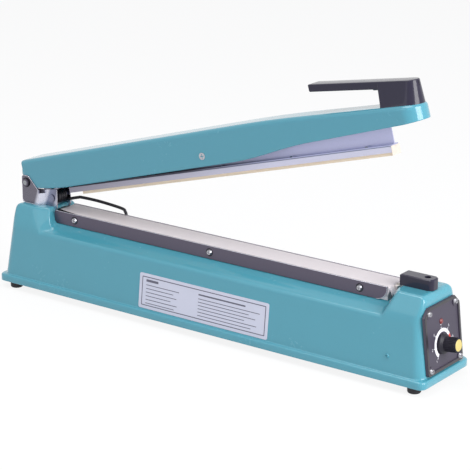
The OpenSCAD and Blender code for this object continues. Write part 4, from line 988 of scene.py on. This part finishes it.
def panel_edge(inset, r):
    """Outline of the end panel moved in by inset: chamfers at the top, round corners all round."""
    half, low, high, cut = 32.5 - inset, 1.6 + inset, 68.6 - inset, 8.0 - 0.41 * inset
    corners = [(-half, low), (half, low), (half, high - cut),
               (half - cut, high), (-half + cut, high), (-half, high - cut)]
    out = []
    for i, b in enumerate(corners):
        a, b, c = np.array(corners[i - 1]), np.array(b), np.array(corners[(i + 1) % 6])
        u, v = (a - b) / np.linalg.norm(a - b), (c - b) / np.linalg.norm(c - b)
        t = np.linspace(0, 1, 7)[:, None]
        out.append((1 - t) ** 2 * (b + u * r) + 2 * t * (1 - t) * b + t ** 2 * (b + v * r))
    return np.vstack(out)


band_piece("panel_rim", panel_edge(0.2, 2.6), panel_edge(3.0, 1.6), 0.3, on_panel, rim_plastic,
           base=2.82)

PANEL_FLOOR, DIAL_Y, DIAL_UP = 1.92, -1.6, 27.0 / math.cos(math.radians(LEAN_DEG))
DIAL_IN, DIAL_OUT, TICK_IN, TICK_OUT, NUMERAL_R, NUMERAL_H = 11.7, 15.1, 15.5, 17.0, 19.4, 3.6


def round_dial(r, angles):
    """Points (sideways, up) round the dial's centre; angles clockwise from the top, in radians."""
    return np.stack([DIAL_Y + r * np.sin(angles), DIAL_UP + r * np.cos(angles)], -1)


def dial_arc(name, r0, r1, a0, a1, material, rise=0.12):
    """Part of a flat ring round the dial's centre; angles clockwise from the top, in degrees."""
    a = np.radians(np.linspace(a0, a1, max(3, int(abs(a1 - a0) / 4) + 2)))
    loop = np.vstack([round_dial(r1, a), round_dial(r0, a)[::-1]])
    n, m = len(loop), len(a)
    points = np.vstack([on_panel(loop, np.full(n, PANEL_FLOOR)), on_panel(loop, np.full(n, PANEL_FLOOR + rise))])
    faces = [[n + i, n + i + 1, n + 2 * m - 2 - i, n + 2 * m - 1 - i] for i in range(m - 1)]
    faces += [[i + 1, i, 2 * m - 1 - i, 2 * m - 2 - i] for i in range(m - 1)]
    faces += [[i, (i + 1) % n, n + (i + 1) % n, n + i] for i in range(n)]
    return make_piece(name, points, faces, material, "base", smooth=False, flip=True)


dial_arc("dial_ring", DIAL_IN, DIAL_OUT, -140, 64, print_white)
dial_arc("dial_ring_end", DIAL_IN, DIAL_OUT, 64, 84, print_red)
SCALE_MARKS = [(-140, "1"), (-95, "2"), (-50, "3"), (-4, "4"), (41, "5"), (84, "6")]
for angle, text in SCALE_MARKS:
    dial_arc(f"dial_tick_{text}", TICK_IN, TICK_OUT, angle - 1.2, angle + 1.2, print_white)


def numeral(text, name, size, across, up):
    """A printed numeral, upright on the panel's floor."""
    curve = bpy.data.curves.new(name, "FONT")
    curve.body = text
    curve.size = size
    curve.align_x = "CENTER"
    curve.align_y = "CENTER"
    curve.extrude = 0.05
    holder = bpy.data.objects.new(name + "_text", curve)
    bpy.context.scene.collection.objects.link(holder)
    depsgraph = bpy.context.evaluated_depsgraph_get()
    mesh = bpy.data.meshes.new_from_object(holder.evaluated_get(depsgraph))
    bpy.data.objects.remove(holder)
    flat = np.empty(len(mesh.vertices) * 3)
    mesh.vertices.foreach_get("co", flat)
    flat = flat.reshape(-1, 3)
    placed = on_end(np.column_stack([PANEL_FLOOR + 0.06 + flat[:, 2], across + flat[:, 0], up + flat[:, 1]]))
    mesh.vertices.foreach_set("co", placed.ravel())
    mesh.update()
    mesh.materials.clear()
    mesh.materials.append(print_white)
    obj = bpy.data.objects.new(name, mesh)
    bpy.context.scene.collection.objects.link(obj)
    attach(obj, "base")
    return obj


for angle, text in SCALE_MARKS:
    numeral(text, f"dial_numeral_{text}", NUMERAL_H, *round_dial(NUMERAL_R, math.radians(angle)))


# Stage, light and camera

def look_from(position, azimuth_deg, elevation_deg, lens):
    """The camera, looking down by the elevation and turned by the azimuth from straight along Y."""
    camera_data = bpy.data.cameras.new("camera")
    camera_data.lens = lens
    camera_data.sensor_width = 36
    camera_data.clip_start = 0.05
    camera_data.clip_end = 30
    camera = bpy.data.objects.new("camera", camera_data)
    camera.location = position
    camera.rotation_euler = (math.radians(90 - elevation_deg), 0, math.radians(azimuth_deg))
    bpy.context.scene.collection.objects.link(camera)
    bpy.context.scene.camera = camera


look_from(position=(1.1250, -1.4973, 0.7008), azimuth_deg=36.611, elevation_deg=17.724, lens=145.7)


def area_light(name, location, target, size, power):
    """A rectangular light that faces its target, its width level."""
    data = bpy.data.lights.new(name, "AREA")
    data.shape = "RECTANGLE"
    data.size, data.size_y = size
    data.energy = power
    lamp = bpy.data.objects.new(name, data)
    lamp.location = location
    direction = np.array(target, float) - np.array(location, float)
    yaw = math.atan2(direction[1], direction[0]) - math.pi / 2
    pitch = math.acos(-direction[2] / np.linalg.norm(direction))
    lamp.rotation_euler = (pitch, 0, yaw)
    bpy.context.scene.collection.objects.link(lamp)


area_light("key", location=(1.75, -0.12, 0.95), target=(0.1, 0, 0.16), size=(1.1, 1.4), power=36)
area_light("fill", location=(-0.6, -2.0, 1.2), target=(0, 0, 0.15), size=(1.6, 1.2), power=4)
area_light("top", location=(-0.2, -0.5, 2.1), target=(0, 0, 0.1), size=(1.8, 1.0), power=22)


def seen_by_eye(tree):
    """A factor that is 1 for camera, glossy and transmission rays and 0 for the rest."""
    path = tree.nodes.new("ShaderNodeLightPath").outputs
    direct = math_out(tree, "MAXIMUM", path["Is Camera Ray"], path["Is Glossy Ray"])
    return math_out(tree, "MAXIMUM", direct, path["Is Transmission Ray"])


def mix_into(tree, factor, first, second, output):
    """Mixes two shaders by a factor and links the result to the tree's output node."""
    mix = tree.nodes.new("ShaderNodeMixShader")
    for socket, value in zip(mix.inputs, (factor, first.outputs[0], second.outputs[0])):
        tree.links.new(value, socket)
    tree.links.new(mix.outputs[0], tree.nodes[output].inputs["Surface"])


world = bpy.data.worlds.new("studio")
bpy.context.scene.world = world
world.use_nodes = True
wt = world.node_tree
ambient = wt.nodes["Background"]
set_inputs(ambient, Color=(0.93, 0.95, 1.0, 1), Strength=0.5)
white = wt.nodes.new("ShaderNodeBackground")
set_inputs(white, Color=(1, 1, 1, 1), Strength=1.0)
mix_into(wt, seen_by_eye(wt), ambient, white, "World Output")

floor_mat = bpy.data.materials.new("pale floor")
floor_mat.use_nodes = True
ft = floor_mat.node_tree
matte = ft.nodes["Principled BSDF"]
set_inputs(matte, Base_Color=(0.86, 0.86, 0.87, 1), Roughness=0.9)
glow = ft.nodes.new("ShaderNodeEmission")
set_inputs(glow, Color=(1, 1, 1, 1), Strength=1.0)
mix_into(ft, math_out(ft, "MULTIPLY", seen_by_eye(ft), 0.86), matte, glow, "Material Output")
floor_mesh = bpy.data.meshes.new("floor")
floor_mesh.from_pydata([(-9, -9, 0), (9, -9, 0), (9, 9, 0), (-9, 9, 0)], [], [(0, 1, 2, 3)])
floor_mesh.materials.append(floor_mat)
floor = bpy.data.objects.new("floor", floor_mesh)
bpy.context.scene.collection.objects.link(floor)

bpy.context.scene.view_settings.view_transform = "Standard"
